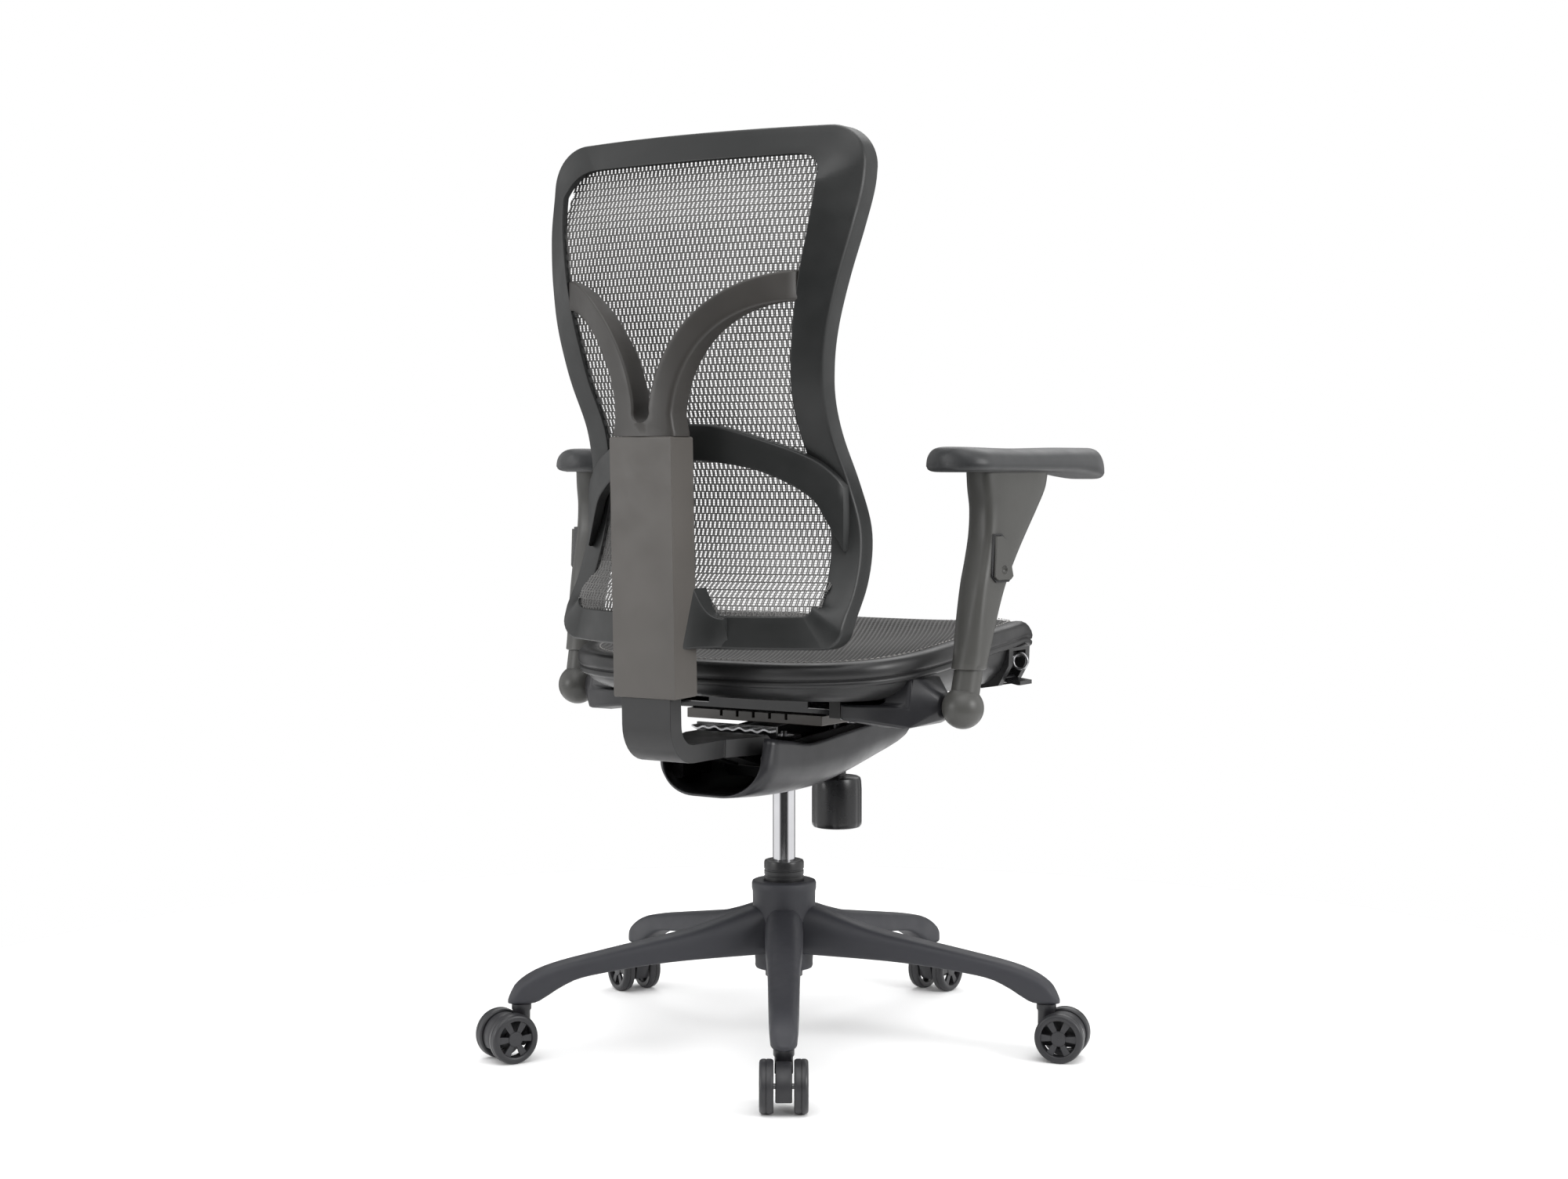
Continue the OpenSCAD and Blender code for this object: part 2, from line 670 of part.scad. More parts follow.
module back_frame() {
    n = len(half_frame);
    right = [for (i = [1:n - 2]) half_frame[n - 1 - i]];
    xs = [0, 44, 74, 103, 130, 155, 172, 186];
    color("#2c2c2c") union() {
        ring_of(concat([for (s = half_frame) frame_section(s, 1)],
            [for (s = right) frame_section(s, -1)]));
        for (side = [-1, 1], i = [0:len(xs) - 2]) hull() {
            arch_slice(side * xs[i]);
            arch_slice(side * xs[i + 1]);
        }
    }
}

// The woven back: a taut sheet on the frame's inner edge.
mesh_bow = [[508, 44], [600, 40], [700, 26], [850, 15], [1000, 17], [1118, 19]];
function back_mesh_point(z, f, lift) = let (w = smooth(frame_half_w, z),
    half = w - smooth(frame_member, z) + 8,
    y = smooth(frame_rear_y, z) + smooth(frame_turn, z) - 10)
    [f * half, y + lift + smooth(mesh_bow, z) * (1 - f * f), z];

module back_mesh() {
    zs = steps(frame_bottom + crossbar_h - 8, frame_top - rail_h + 6, 30);
    fs = steps(-1, 1, 12);
    color("#555555") sheet([for (z = zs) [for (f = fs) back_mesh_point(z, f, 0)]],
        [for (z = zs) [for (f = fs) back_mesh_point(z, f, 2)]]);
}

// ---------------------------------------------------------------- seat

seat_mid = (seat_rear + seat_front) / 2;
seat_half_l = (seat_rear - seat_front) / 2;
function squircle(a, p) = [sign(cos(a)) * pow(abs(cos(a)), 2 / p),
    sign(sin(a)) * pow(abs(sin(a)), 2 / p)];
function seat_plan(a, inset) = let (c = squircle(a, 3.6))
    [(seat_half_w - inset) * c[0], seat_mid + (seat_half_l - inset) * c[1]];
rim_line = [[-310, 497], [-300, 506], [-280, 518], [-250, 525], [-200, 524], [-60, 514],
    [100, 498], [200, seat_rear_z]];
function rim_z(y) = smooth(rim_line, y);
seat_angles = [for (i = [0:47]) i * 7.5];

module seat_frame() {
    function section(a) = let (o = seat_plan(a, 0), m = seat_plan(a, 2), n = seat_plan(a, 26),
        z = rim_z(o[1])) [
        [o[0], o[1], z - 12], [m[0], m[1], z - 3], [n[0], n[1], z - 2], [n[0], n[1], z - 18],
        [m[0], m[1], z - 26]];
    color("#242424") ring_of([for (i = [47:-1:0]) section(seat_angles[i])]);
}

function dish(r, y) = rim_z(y) - 4 - 20 * (1 - r * r);
module seat_mesh() {
    rings = steps(0.05, 1, 6);
    function grid(drop) = [for (r = rings) [for (a = concat(seat_angles, [360]))
        let (p = seat_plan(a, 20)) [r * p[0], seat_mid + r * (p[1] - seat_mid),
            dish(r, seat_mid + r * (p[1] - seat_mid)) - drop]]];
    upper = grid(0);
    lower = grid(2.5);
    n = len(rings);
    m = 48;
    q = n * m + 1;
    top = concat([for (r = upper) each [for (j = [0:m - 1]) r[j]]], [[0, seat_mid, dish(0, seat_mid)]]);
    under = concat([for (r = lower) each [for (j = [0:m - 1]) r[j]]],
        [[0, seat_mid, dish(0, seat_mid) - 2.5]]);
    color("#1c1c1c") polyhedron(concat(top, under), concat(
        [for (i = [0:n - 2], j = [0:m - 1]) let (a = i * m, b = a + m, k = (j + 1) % m)
            each [[a + j, b + k, b + j], [a + j, a + k, b + k]]],
        [for (j = [0:m - 1]) [n * m, (j + 1) % m, j]],
        [for (i = [0:n - 2], j = [0:m - 1]) let (a = q + i * m, b = a + m, k = (j + 1) % m)
            each [[a + j, b + j, b + k], [a + j, b + k, a + k]]],
        [for (j = [0:m - 1]) [q + n * m, q + j, q + (j + 1) % m]],
        [for (j = [0:m - 1]) let (a = (n - 1) * m, k = (j + 1) % m)
            each [[a + j, a + k, q + a + k], [a + j, q + a + k, q + a + j]]]));
}

pan_floor = 441.5;
module seat_pan() {
    // Rings of the outer skin from the rim to the floor: inset and share of the drop.
    rings = [[5, 0], [9, 0.3], [20, 0.62], [36, 0.88], [52, 1]];
    wall = 3;
    function outer(i, a) = let (p = seat_plan(a, rings[i][0]), z = rim_z(p[1]) - 26.5)
        [p[0], p[1], z - (z - pan_floor) * rings[i][1]];
    function inner(i, a) = let (p = seat_plan(a, rings[i][0] + wall), z = rim_z(p[1]) - 26.5)
        [p[0], p[1], z - (z - pan_floor - wall) * rings[i][1]];
    n = len(rings);
    sections = [for (i = [0:47]) let (a = -seat_angles[i]) concat(
        [for (j = [0:n - 1]) outer(j, a)],
        [for (j = [n - 1:-1:0]) inner(j, a)])];
    function flat(list) = [for (s = list) each s];
    m = 2 * n;
    // The skirt's sections leave a hole in the floor, closed by two fans.
    color("#1a1a1b") difference() {
    polyhedron(
        concat(flat(sections), [[0, seat_mid, pan_floor], [0, seat_mid, pan_floor + wall]]),
        concat(
            [for (i = [0:47], j = [0:m - 1]) if (j != n - 1) let (a = i * m,
                b = ((i + 1) % 48) * m, k = (j + 1) % m)
                each [[a + j, b + j, b + k], [a + j, b + k, a + k]]],
            [for (i = [0:47]) [i * m + n - 1, ((i + 1) % 48) * m + n - 1, 48 * m]],
            [for (i = [0:47]) [((i + 1) % 48) * m + n, i * m + n, 48 * m + 1]]));
    translate([-262, lever_y - 28, 443]) cube([50, 56, 53]);
    }
}

module seat_runners() {
    color("#2a2a2a") for (side = [-1, 1]) mirror([side < 0 ? 1 : 0, 0, 0])
        difference() {
            translate([tray_half + 0.5, -150, tray_z + 2]) cube([16, 250, pan_floor - tray_z - 2.2]);
            for (y = [-120, 0, 80]) translate([tray_half + 9, y, tray_z])
                cylinder(h = 40, d = 5);
        }
}

module runner_screws() {
    color("silver") for (side = [-1, 1], y = [-120, 0, 80])
        translate([side * (tray_half + 9), y, tray_z - 1]) {
            cylinder(h = pan_floor - tray_z, d = 5);
            cylinder(h = 3, d = 9);
        }
}

// ---------------------------------------------------------------- levers

lever_y = -172;
lever_pin = [-226, 451];     // X and Z of the height lever's pin
bail_pin = [-235, 480];      // X and Z of the bail's pin

// Extrudes a profile drawn in X and Z over a width centred on the levers.
module beside_lever(width) {
    through(lever_y - width / 2, lever_y + width / 2) children();
}

module lever_block() {
    color("#151516") difference() {
        beside_lever(56) polygon([[-196, 446], [-204, 440], [-228, 444], [-243, 470], [-244, 492],
            [-238, 495], [-215, 495], [-215, 470], [-196, 460]]);
        beside_lever(34) polygon([[-214, 400], [-214, 460], [-228, 464], [-228, 488], [-262, 488],
            [-262, 400]]);
        for (pin = [lever_pin, bail_pin])
            beside_lever(44) translate(pin) circle(r = 2 + running);
    }
}

module height_lever() {
    color("#0e0e10") {
        beside_lever(42) translate(lever_pin) circle(r = 2);
        beside_lever(30) translate(lever_pin) circle(r = 5);
        hull() {
            beside_lever(26) translate(lever_pin - [4, 2]) square([6, 4]);
            beside_lever(32) translate(lever_pin - [27, 6]) square([4, 5]);
        }
    }
}

module depth_lever() {
    color("silver") {
        beside_lever(42) translate(bail_pin) circle(r = 2);
        translate([bail_pin[0] - 10, lever_y, bail_pin[1] - 6]) rotate([90, 0, 0])
            rotate_extrude() translate([10, 0]) circle(d = 3.4);
    }
}

// ---------------------------------------------------------------- arms

// Places one arm's parts, drawn for the sitter's left with -Y forward and
// +X outward from the arm's ball.
module arm_side(side) {
    mirror([side == "right" ? 1 : 0, 0, 0]) translate([arm_x, arm_y, ball_z]) rotate(arm_toe)
        children();
}

module along_stem() {
    rotate([arm_lean, 0, 0]) children();
}

module arm_bracket(side) {
    color("#222326") mirror([side == "right" ? 1 : 0, 0, 0]) difference() {
        union() {
            hull() {
                translate([148, -10, 419]) cube([26, 118, 19]);
                translate([200, 14, 412]) cube([34, 82, 26]);
            }
            hull() {
                translate([200, 14, 412]) cube([34, 82, 26]);
                translate([204, 22, 430]) cube([30, 66, 42]);
                translate([255, arm_y, ball_z]) rotate([0, 90, 0]) cylinder(h = 8, r = 15);
            }
        }
        translate([arm_x, arm_y, ball_z]) sphere(r = ball_r + 0.02);
    }
}

module arm_stem(side) {
    color("#2e2e2e") arm_side(side) {
        sphere(r = ball_r);
        along_stem() cylinder(h = 215, r = arm_stem_r);
    }
}

// Sleeve stations: height over the ball, forward place, half depth, half width.
sleeve_line = [[46, 11.5, 20.5, 20.5], [80, 20, 21.5, 21], [112, 28, 23, 21], [145, 38.5, 26, 21],
    [175, 52, 31.5, 21], [205, 66, 39, 21.5], [235, 78, 50, 22], [258, 84, 60, 22.5],
    [277, 86, 64, 22.5]];
module sleeve_form() {
    loft([for (s = sleeve_line) [for (a = [0:15:345]) let (c = squircle(a, s[0] < 100 ? 2.2 : 3))
        [s[3] * c[0], -s[1] + s[2] * c[1], s[0]]]]);
}

button_z = 176;
button_s = 47;
module button_form(grow, from, to) {
    rotate([0, 90, 0]) translate([0, 0, from]) linear_extrude(to - from) polygon([
        [-button_z - 26 - grow, -button_s + 4 - grow], [-button_z - 26 - grow, -button_s + 14],
        [-button_z + 22, -button_s + 17 + grow], [-button_z + 26 + grow, -button_s + 12],
        [-button_z + 26 + grow, -button_s - 12], [-button_z + 22, -button_s - 17 - grow],
        [-button_z - 20, -button_s - 6 - grow]]);
}

module arm_sleeve(side) {
    color("#45443f") arm_side(side) difference() {
        sleeve_form();
        along_stem() translate([0, 0, 20]) cylinder(h = 212, r = arm_stem_r + running);
        button_form(0.6, 17.3, 40);
    }
}

module arm_button(side) {
    color("#3a3936") arm_side(side) difference() {
        button_form(0, 20.4, 26);
        translate([28.5, -button_s, button_z - 14]) sphere(r = 6);
    }
}

module pad_plate(side) {
    color("#1a1a1a") arm_side(side) translate([-4, -86, pad_under - ball_z])
        linear_extrude(5) polygon(concat(
            [for (a = [0:15:345]) let (c = squircle(a, 3)) [30 * c[0], 100 * c[1]]]));
}

module pad_corner(x, s, drop) {
    end_r = 30;
    translate([x * (pad_width / 2 - end_r), -s, pad_under - ball_z - drop]) {
        cylinder(h = 12, r = end_r - 4, $fn = 32);
        translate([0, 0, 5]) cylinder(h = 14 + drop, r = end_r, $fn = 32);
        translate([0, 0, 22]) cylinder(h = pad_top - pad_under - 22, r = end_r - 7, $fn = 32);
    }
}

module arm_pad(side) {
    near = -5;
    far = near + pad_length - 60;
    color("#17181a") arm_side(side) translate([-11, 0, 0]) difference() {
        union() {
            hull() for (x = [-1, 1], s = [near, far]) pad_corner(x, s, 0);
            hull() for (x = [-1, 1]) {
                pad_corner(x, far, 11);
                pad_corner(x, far - 40, 0);
            }
        }
        translate([11 - 35, -86 - 101, pad_under - ball_z - 1]) cube([62, 202, 6.5]);
    }
}

// ---------------------------------------------------------------- the model

star_base();
gas_column();
column_bush();
column_clip();
thrust_bearing();
piston_rod();
gas_cylinder();
valve_pin();
mechanism_chassis();
mechanism_cover();
rear_castings();
spring_strip();
pivot_pins();
tilt_spring();
tension_knob();
tension_bolt();
seat_plate();
slide_tray();
tray_screws();
back_bar();
height_ratchet();
spine_cover();
y_brace();
back_frame();
back_mesh();
seat_pan();
seat_frame();
seat_mesh();
seat_runners();
runner_screws();
lever_block();
height_lever();
depth_lever();
for (side = ["left", "right"]) {
    arm_bracket(side);
    arm_stem(side);
    arm_sleeve(side);
    arm_button(side);
    pad_plate(side);
    arm_pad(side);
}
for (k = [1:leg_count]) {
    caster_housing(k);
    caster_pins(k);
    caster_wheels(k);
}
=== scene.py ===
"""Looks of the swivel office chair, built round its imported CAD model.

Sizes are in millimetres in the CAD's own frame (+Z up, the sitter faces -Y)
and become metres where a mesh is made.
"""
import math

import bmesh
import bpy
import numpy as np
from mathutils import Matrix, Vector


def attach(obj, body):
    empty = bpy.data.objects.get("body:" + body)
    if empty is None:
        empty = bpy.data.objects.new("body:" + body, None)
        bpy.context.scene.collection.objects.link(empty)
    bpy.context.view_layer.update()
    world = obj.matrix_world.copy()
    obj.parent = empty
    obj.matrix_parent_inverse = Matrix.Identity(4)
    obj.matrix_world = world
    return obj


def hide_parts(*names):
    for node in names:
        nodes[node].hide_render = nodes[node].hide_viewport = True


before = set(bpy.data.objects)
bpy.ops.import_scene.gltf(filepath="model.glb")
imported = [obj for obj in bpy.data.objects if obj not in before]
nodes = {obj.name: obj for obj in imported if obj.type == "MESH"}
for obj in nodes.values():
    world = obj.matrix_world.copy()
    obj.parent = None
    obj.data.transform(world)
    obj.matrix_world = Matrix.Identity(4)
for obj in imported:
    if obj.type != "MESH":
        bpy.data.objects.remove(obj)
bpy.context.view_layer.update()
MM = 0.001
EDGE_ANGLE = 32  # degrees past which an edge counts as sharp
WELD_MM = 0.01

# ------------------------------------------------------------------ curves


def smooth(table, v):
    """A smooth curve through (key, value) pairs, read at one key."""
    j = max(i for i in range(len(table) - 1) if i == 0 or v >= table[i][0])

    def slope(i):
        a, b = table[max(i - 1, 0)], table[min(i + 1, len(table) - 1)]
        return (b[1] - a[1]) / (b[0] - a[0])

    (x0, y0), (x1, y1) = table[j], table[j + 1]
    w = x1 - x0
    s = min(1.0, max(0.0, (v - x0) / w))
    s2, s3 = s * s, s * s * s
    return (
        y0 * (2 * s3 - 3 * s2 + 1) + y1 * (3 * s2 - 2 * s3)
        + slope(j) * w * (s3 - 2 * s2 + s) + slope(j + 1) * w * (s3 - s2)
    )


def steps(a, b, n):
    """n + 1 even steps from a to b, both included."""
    return [a + (b - a) * i / n for i in range(n + 1)]


def power(value, exponent):
    """Keeps the sign of value while raising its size to a power."""
    return math.copysign(abs(value) ** exponent, value)


def squircle(angle, p):
    """A point on a rounded square of half size 1; a higher p is squarer."""
    return power(math.cos(angle), 2 / p), power(math.sin(angle), 2 / p)


def rounded_box_ring(width, depth, radius, per_corner=5, per_side=3):
    """Points round a rectangle with rounded corners, centred on the origin."""
    corners = [(1, 1, 0), (-1, 1, 90), (-1, -1, 180), (1, -1, 270)]
    ring = []
    for sx, sy, start in corners:
        cx, cy = sx * (width / 2 - radius), sy * (depth / 2 - radius)
        for a in steps(start, start + 90, per_corner):
            ring.append((cx + radius * math.cos(math.radians(a)), cy + radius * math.sin(math.radians(a))))
    out = []
    for i, p in enumerate(ring):
        out.append(p)
        q = ring[(i + 1) % len(ring)]
        if math.hypot(q[0] - p[0], q[1] - p[1]) > 2.2 * radius:
            shares = [k / (per_side + 1) for k in range(1, per_side + 1)]
            out += [(p[0] + (q[0] - p[0]) * f, p[1] + (q[1] - p[1]) * f) for f in shares]
    return out


# ------------------------------------------------------------------ meshes


def skin(sections, cyclic=False):
    """Vertices and faces of a closed surface through sections, each a closed ring of points."""
    n, m = len(sections), len(sections[0])
    points = [p for s in sections for p in s]
    faces = []
    for i in range(n if cyclic else n - 1):
        a, b = i * m, ((i + 1) % n) * m
        faces += [(a + j, b + j, b + (j + 1) % m, a + (j + 1) % m) for j in range(m)]
    if not cyclic:
        faces += [tuple(range(m)), tuple(range((n - 1) * m + m - 1, (n - 1) * m - 1, -1))]
    return points, faces


def lathe(profile, turns=96):
    """A closed profile of (radius, height) pairs turned about a vertical axis."""
    sections = []
    for i in range(turns):
        a = 2 * math.pi * i / turns
        sections.append([(r * math.cos(a), r * math.sin(a), z) for r, z in profile])
    return skin(sections, cyclic=True)


def joined(*shapes):
    """Several shapes as one."""
    points, faces = [], []
    for p, f in shapes:
        base = len(points)
        points += list(p)
        faces += [tuple(base + i for i in face) for face in f]
    return points, faces


def moved(shape, matrix):
    """A shape with a 4 by 4 matrix, in millimetres, applied."""
    return [tuple(matrix @ Vector(p)) for p in shape[0]], shape[1]


def mirrored(shape):
    """A shape mirrored from the sitter's left to the right."""
    return [(-x, y, z) for x, y, z in shape[0]], [tuple(reversed(f)) for f in shape[1]]


def piece(name, shape, material, body, stands_for=(), angle=35, bevel=0.0, merge=0.0005):
    """Makes one piece of the object from a shape in millimetres, riding on a CAD body."""
    mesh = bpy.data.meshes.new(name)
    mesh.from_pydata([(x * MM, y * MM, z * MM) for x, y, z in shape[0]], [], shape[1])
    bm = bmesh.new()
    bm.from_mesh(mesh)
    if merge:
        bmesh.ops.remove_doubles(bm, verts=bm.verts, dist=merge * MM)
    bmesh.ops.recalc_face_normals(bm, faces=bm.faces)
    bm.to_mesh(mesh)
    bm.free()
    mesh.shade_smooth()
    mesh.set_sharp_from_angle(angle=math.radians(angle))
    obj = bpy.data.objects.new(name, mesh)
    bpy.context.scene.collection.objects.link(obj)
    mesh.materials.append(material)
    if bevel:
        add_bevel(obj, bevel)
    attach(obj, body)
    if stands_for:
        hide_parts(*stands_for)
    return obj


def add_bevel(obj, width):
    """Rounds an object's sharp edges by a width in millimetres."""
    mod = obj.modifiers.new("edges", "BEVEL")
    mod.width = width * MM
    mod.segments = 3
    mod.limit_method = "ANGLE"
    mod.angle_limit = math.radians(EDGE_ANGLE)
    mod.harden_normals = True


def dress(node, material, bevel=0.0):
    """Gives a CAD node its material and rounds its edges, leaving its mesh as packed."""
    obj = nodes[node]
    obj.data.materials.clear()
    obj.data.materials.append(material)
    custom = obj.data.attributes.get("custom_normal")
    if custom:
        obj.data.attributes.remove(custom)
    obj.data.shade_smooth()
    weld = obj.modifiers.new("weld", "WELD")
    weld.merge_threshold = WELD_MM * MM
    if bevel:
        add_bevel(obj, bevel)
    else:
        split = obj.modifiers.new("edges", "EDGE_SPLIT")
        split.split_angle = math.radians(EDGE_ANGLE)


# ------------------------------------------------------------------ materials


class Recipe:
    """A node material, built up a node at a time round one Principled shader."""

    def __init__(self, name, roughness, metallic=0.0, specular=0.5, coat=0.0, sheen=0.0):
        self.material = bpy.data.materials.new(name)
        self.material.use_nodes = True
        self.tree = self.material.node_tree
        self.shader = self.tree.nodes["Principled BSDF"]
        self.set("Roughness", roughness)
        self.set("Metallic", metallic)
        self.set("Specular IOR Level", specular)
        self.set("Coat Weight", coat)
        self.set("Sheen Weight", sheen)
        self.coordinates = self.tree.nodes.new("ShaderNodeTexCoord").outputs["Object"]

    def set(self, socket, value):
        self.shader.inputs[socket].default_value = value

    def link(self, a, b):
        self.tree.links.new(a, b)

    def noise(self, scale, detail=3.0, stretch=(1, 1, 1)):
        mapping = self.tree.nodes.new("ShaderNodeMapping")
        mapping.inputs["Scale"].default_value = stretch
        self.link(self.coordinates, mapping.inputs["Vector"])
        node = self.tree.nodes.new("ShaderNodeTexNoise")
        node.inputs["Scale"].default_value = scale
        node.inputs["Detail"].default_value = detail
        self.link(mapping.outputs["Vector"], node.inputs["Vector"])
        return node.outputs["Fac"]

    def ramp(self, fac, low, high, to_low, to_high):
        node = self.tree.nodes.new("ShaderNodeMapRange")
        limits = {"From Min": low, "From Max": high, "To Min": to_low, "To Max": to_high}
        for name, value in limits.items():
            node.inputs[name].default_value = value
        self.link(fac, node.inputs["Value"])
        return node.outputs["Result"]

    def mix(self, fac, a, b):
        node = self.tree.nodes.new("ShaderNodeMix")
        node.data_type = "RGBA"
        self.link(fac, node.inputs["Factor"])
        for socket, value in ((node.inputs["A"], a), (node.inputs["B"], b)):
            if isinstance(value, tuple):
                socket.default_value = (*value, 1)
            else:
                self.link(value, socket)
        return node.outputs["Result"]

    def bump(self, height, strength, distance_mm, before=None):
        node = self.tree.nodes.new("ShaderNodeBump")
        node.inputs["Strength"].default_value = strength
        node.inputs["Distance"].default_value = distance_mm * MM
        self.link(height, node.inputs["Height"])
        if before is not None:
            self.link(before, node.inputs["Normal"])
        return node.outputs["Normal"]


def tint(colour, by):
    return tuple(min(1.0, c * by) for c in colour)


def plastic(name, colour, roughness, grain=0.9, depth=0.03, specular=0.4, coat=0.0, wear=0.16):
    """Moulded plastic: a fine grain, soft blotches of shade and gloss, and edges rubbed lighter."""
    r = Recipe(name, roughness, specular=specular, coat=coat)
    blotch = r.ramp(r.noise(9, 4), 0.3, 0.7, 0, 1)
    body = r.mix(blotch, tint(colour, 0.9), tint(colour, 1.1))
    geometry = r.tree.nodes.new("ShaderNodeNewGeometry")
    edge = r.ramp(geometry.outputs["Pointiness"], 0.515, 0.6, 0, wear)
    r.link(r.mix(edge, body, tint(colour, 3.0)), r.shader.inputs["Base Color"])
    gloss = r.ramp(r.noise(35, 4), 0.3, 0.7, roughness - 0.05, roughness + 0.06)
    r.link(gloss, r.shader.inputs["Roughness"])
    fine = r.bump(r.noise(1000 / grain, 2), 0.5, depth)
    r.link(r.bump(r.noise(14, 2), 0.25, 0.25, fine), r.shader.inputs["Normal"])
    return r.material


def metal(name, colour, roughness, stretch=(1, 1, 1), depth=0.01, scale=700):
    """Bare or plated metal with fine marks drawn out along one direction."""
    r = Recipe(name, roughness, metallic=1.0)
    marks = r.noise(scale, 3, stretch)
    shade = r.mix(r.ramp(r.noise(12, 4), 0.3, 0.7, 0, 1), tint(colour, 0.86), colour)
    r.link(shade, r.shader.inputs["Base Color"])
    r.link(r.ramp(marks, 0.3, 0.7, roughness * 0.8, roughness * 1.3 + 0.02), r.shader.inputs["Roughness"])
    r.link(r.bump(marks, 0.35, depth), r.shader.inputs["Normal"])
    return r.material


def yarn(name, colour):
    """Polyester yarn: fibres along the strand and a light dusty sheen."""
    r = Recipe(name, 0.55, specular=0.45, sheen=0.25)
    fibres = r.noise(1500, 2, (1, 1, 0.15))
    shade = r.mix(r.ramp(r.noise(20, 3), 0.3, 0.7, 0, 1), tint(colour, 0.75), tint(colour, 1.25))
    r.link(r.mix(r.ramp(fibres, 0.35, 0.65, 0, 0.6), shade, tint(colour, 1.9)), r.shader.inputs["Base Color"])
    r.link(r.ramp(fibres, 0.3, 0.7, 0.42, 0.68), r.shader.inputs["Roughness"])
    r.link(r.bump(fibres, 0.5, 0.15), r.shader.inputs["Normal"])
    return r.material


def soft_skin(name, colour):
    """Integral-skin foam: a soft leathery grain with a low sheen."""
    r = Recipe(name, 0.48, specular=0.45, sheen=0.12)
    cells = r.tree.nodes.new("ShaderNodeTexVoronoi")
    cells.inputs["Scale"].default_value = 650
    r.link(r.coordinates, cells.inputs["Vector"])
    shade = r.mix(r.ramp(r.noise(11, 4), 0.3, 0.7, 0, 1), tint(colour, 0.85), tint(colour, 1.2))
    r.link(shade, r.shader.inputs["Base Color"])
    r.link(r.ramp(r.noise(28, 3), 0.3, 0.7, 0.38, 0.52), r.shader.inputs["Roughness"])
    r.link(r.bump(cells.outputs["Distance"], 0.35, 0.12), r.shader.inputs["Normal"])
    return r.material


MATERIALS = {
    "base_nylon": plastic("base_nylon", (0.024, 0.0245, 0.0295), 0.55, grain=0.7, depth=0.05),
    "column_black": plastic("column_black", (0.012, 0.012, 0.013), 0.35, grain=1.2, depth=0.01, wear=0.05),
    "bush_black": plastic("bush_black", (0.02, 0.02, 0.02), 0.5),
    "zinc_steel": metal("zinc_steel", (0.4, 0.4, 0.41), 0.32),
    "chrome": metal("chrome", (0.64, 0.64, 0.66), 0.07, stretch=(1, 1, 0.02), depth=0.002, scale=500),
    "chassis_steel": plastic("chassis_steel", (0.02, 0.02, 0.021), 0.42, grain=1.4, depth=0.03),
    "cover_black": plastic("cover_black", (0.014, 0.014, 0.016), 0.36, grain=0.8, depth=0.02),
    "knob_black": plastic("knob_black", (0.009, 0.009, 0.01), 0.3, grain=0.8, depth=0.01),
    "plate_steel": plastic("plate_steel", (0.06, 0.055, 0.05), 0.4, grain=1.6, depth=0.03, wear=0.3),
    "tray_black": plastic("tray_black", (0.01, 0.01, 0.011), 0.16, grain=2.5, depth=0.004, coat=0.3),
    "bar_black": plastic("bar_black", (0.018, 0.018, 0.0185), 0.4, grain=0.8, depth=0.02),
    "brace_grey": plastic("brace_grey", (0.036, 0.0335, 0.031), 0.44, grain=0.7, depth=0.02),
    # Spine: lighter than the frame, partly its own grey and partly painted light standing in for a softbox's
    # sheen on its rear face.
    "spine_grey": plastic("spine_grey", (0.07, 0.0645, 0.059), 0.46, grain=0.7, depth=0.02),
    "frame_black": plastic("frame_black", (0.0135, 0.0143, 0.0143), 0.42, grain=0.7, depth=0.02),
    "back_weave": yarn("back_weave", (0.085, 0.083, 0.081)),
    "seat_weave": yarn("seat_weave", (0.03, 0.029, 0.028)),
    "pan_black": plastic("pan_black", (0.012, 0.012, 0.0125), 0.38, grain=0.8, depth=0.02),
    "arm_grey": plastic("arm_grey", (0.052, 0.0515, 0.048), 0.4, grain=0.6, depth=0.02),
    "pad_soft": soft_skin("pad_soft", (0.02, 0.021, 0.0225)),
    "wheel_black": plastic("wheel_black", (0.019, 0.019, 0.021), 0.38, grain=1.0, depth=0.02),
    "hood_black": plastic("hood_black", (0.014, 0.014, 0.016), 0.42, grain=0.8, depth=0.02),
}

# ------------------------------------------------------------------ base

LEG_COUNT, BASE_TURN, BASE_REACH = 5, 122.8, 336
LEG_TURNS = [BASE_TURN + 360 / LEG_COUNT * k for k in range(LEG_COUNT)]
CASTER_TURNS = [0, 0, 0, -6, 14]
# Along a leg from the centre: its upper and lower edge, half width and the arch of its top.
LEG_UPPER = [(0, 170), (42, 168), (85, 155), (125, 144), (181, 133.5), (237, 123.5), (292, 113),
             (320, 104), (341, 90), (352, 72)]
LEG_LOWER = [(0, 110), (125, 108), (181, 105), (237, 99), (270, 93.5), (292, 84), (309, 74),
             (322, 68), (360, 68)]
LEG_HALF = [(0, 24.5), (60, 23.5), (180, 19.5), (296, 17.5), (337, 15.5)]
LEG_ARCH = [(0, 1.9), (70, 2.1), (130, 2.6), (337, 3.0)]
LEG_ROUND, LEG_END_R = 337, 15.6  # where the leg's round end starts, and its radius


def turned(shape, degrees, at=(0, 0, 0)):
    """A shape turned about +Z and then moved."""
    return moved(shape, Matrix.Translation(at) @ Matrix.Rotation(math.radians(degrees), 4, "Z"))


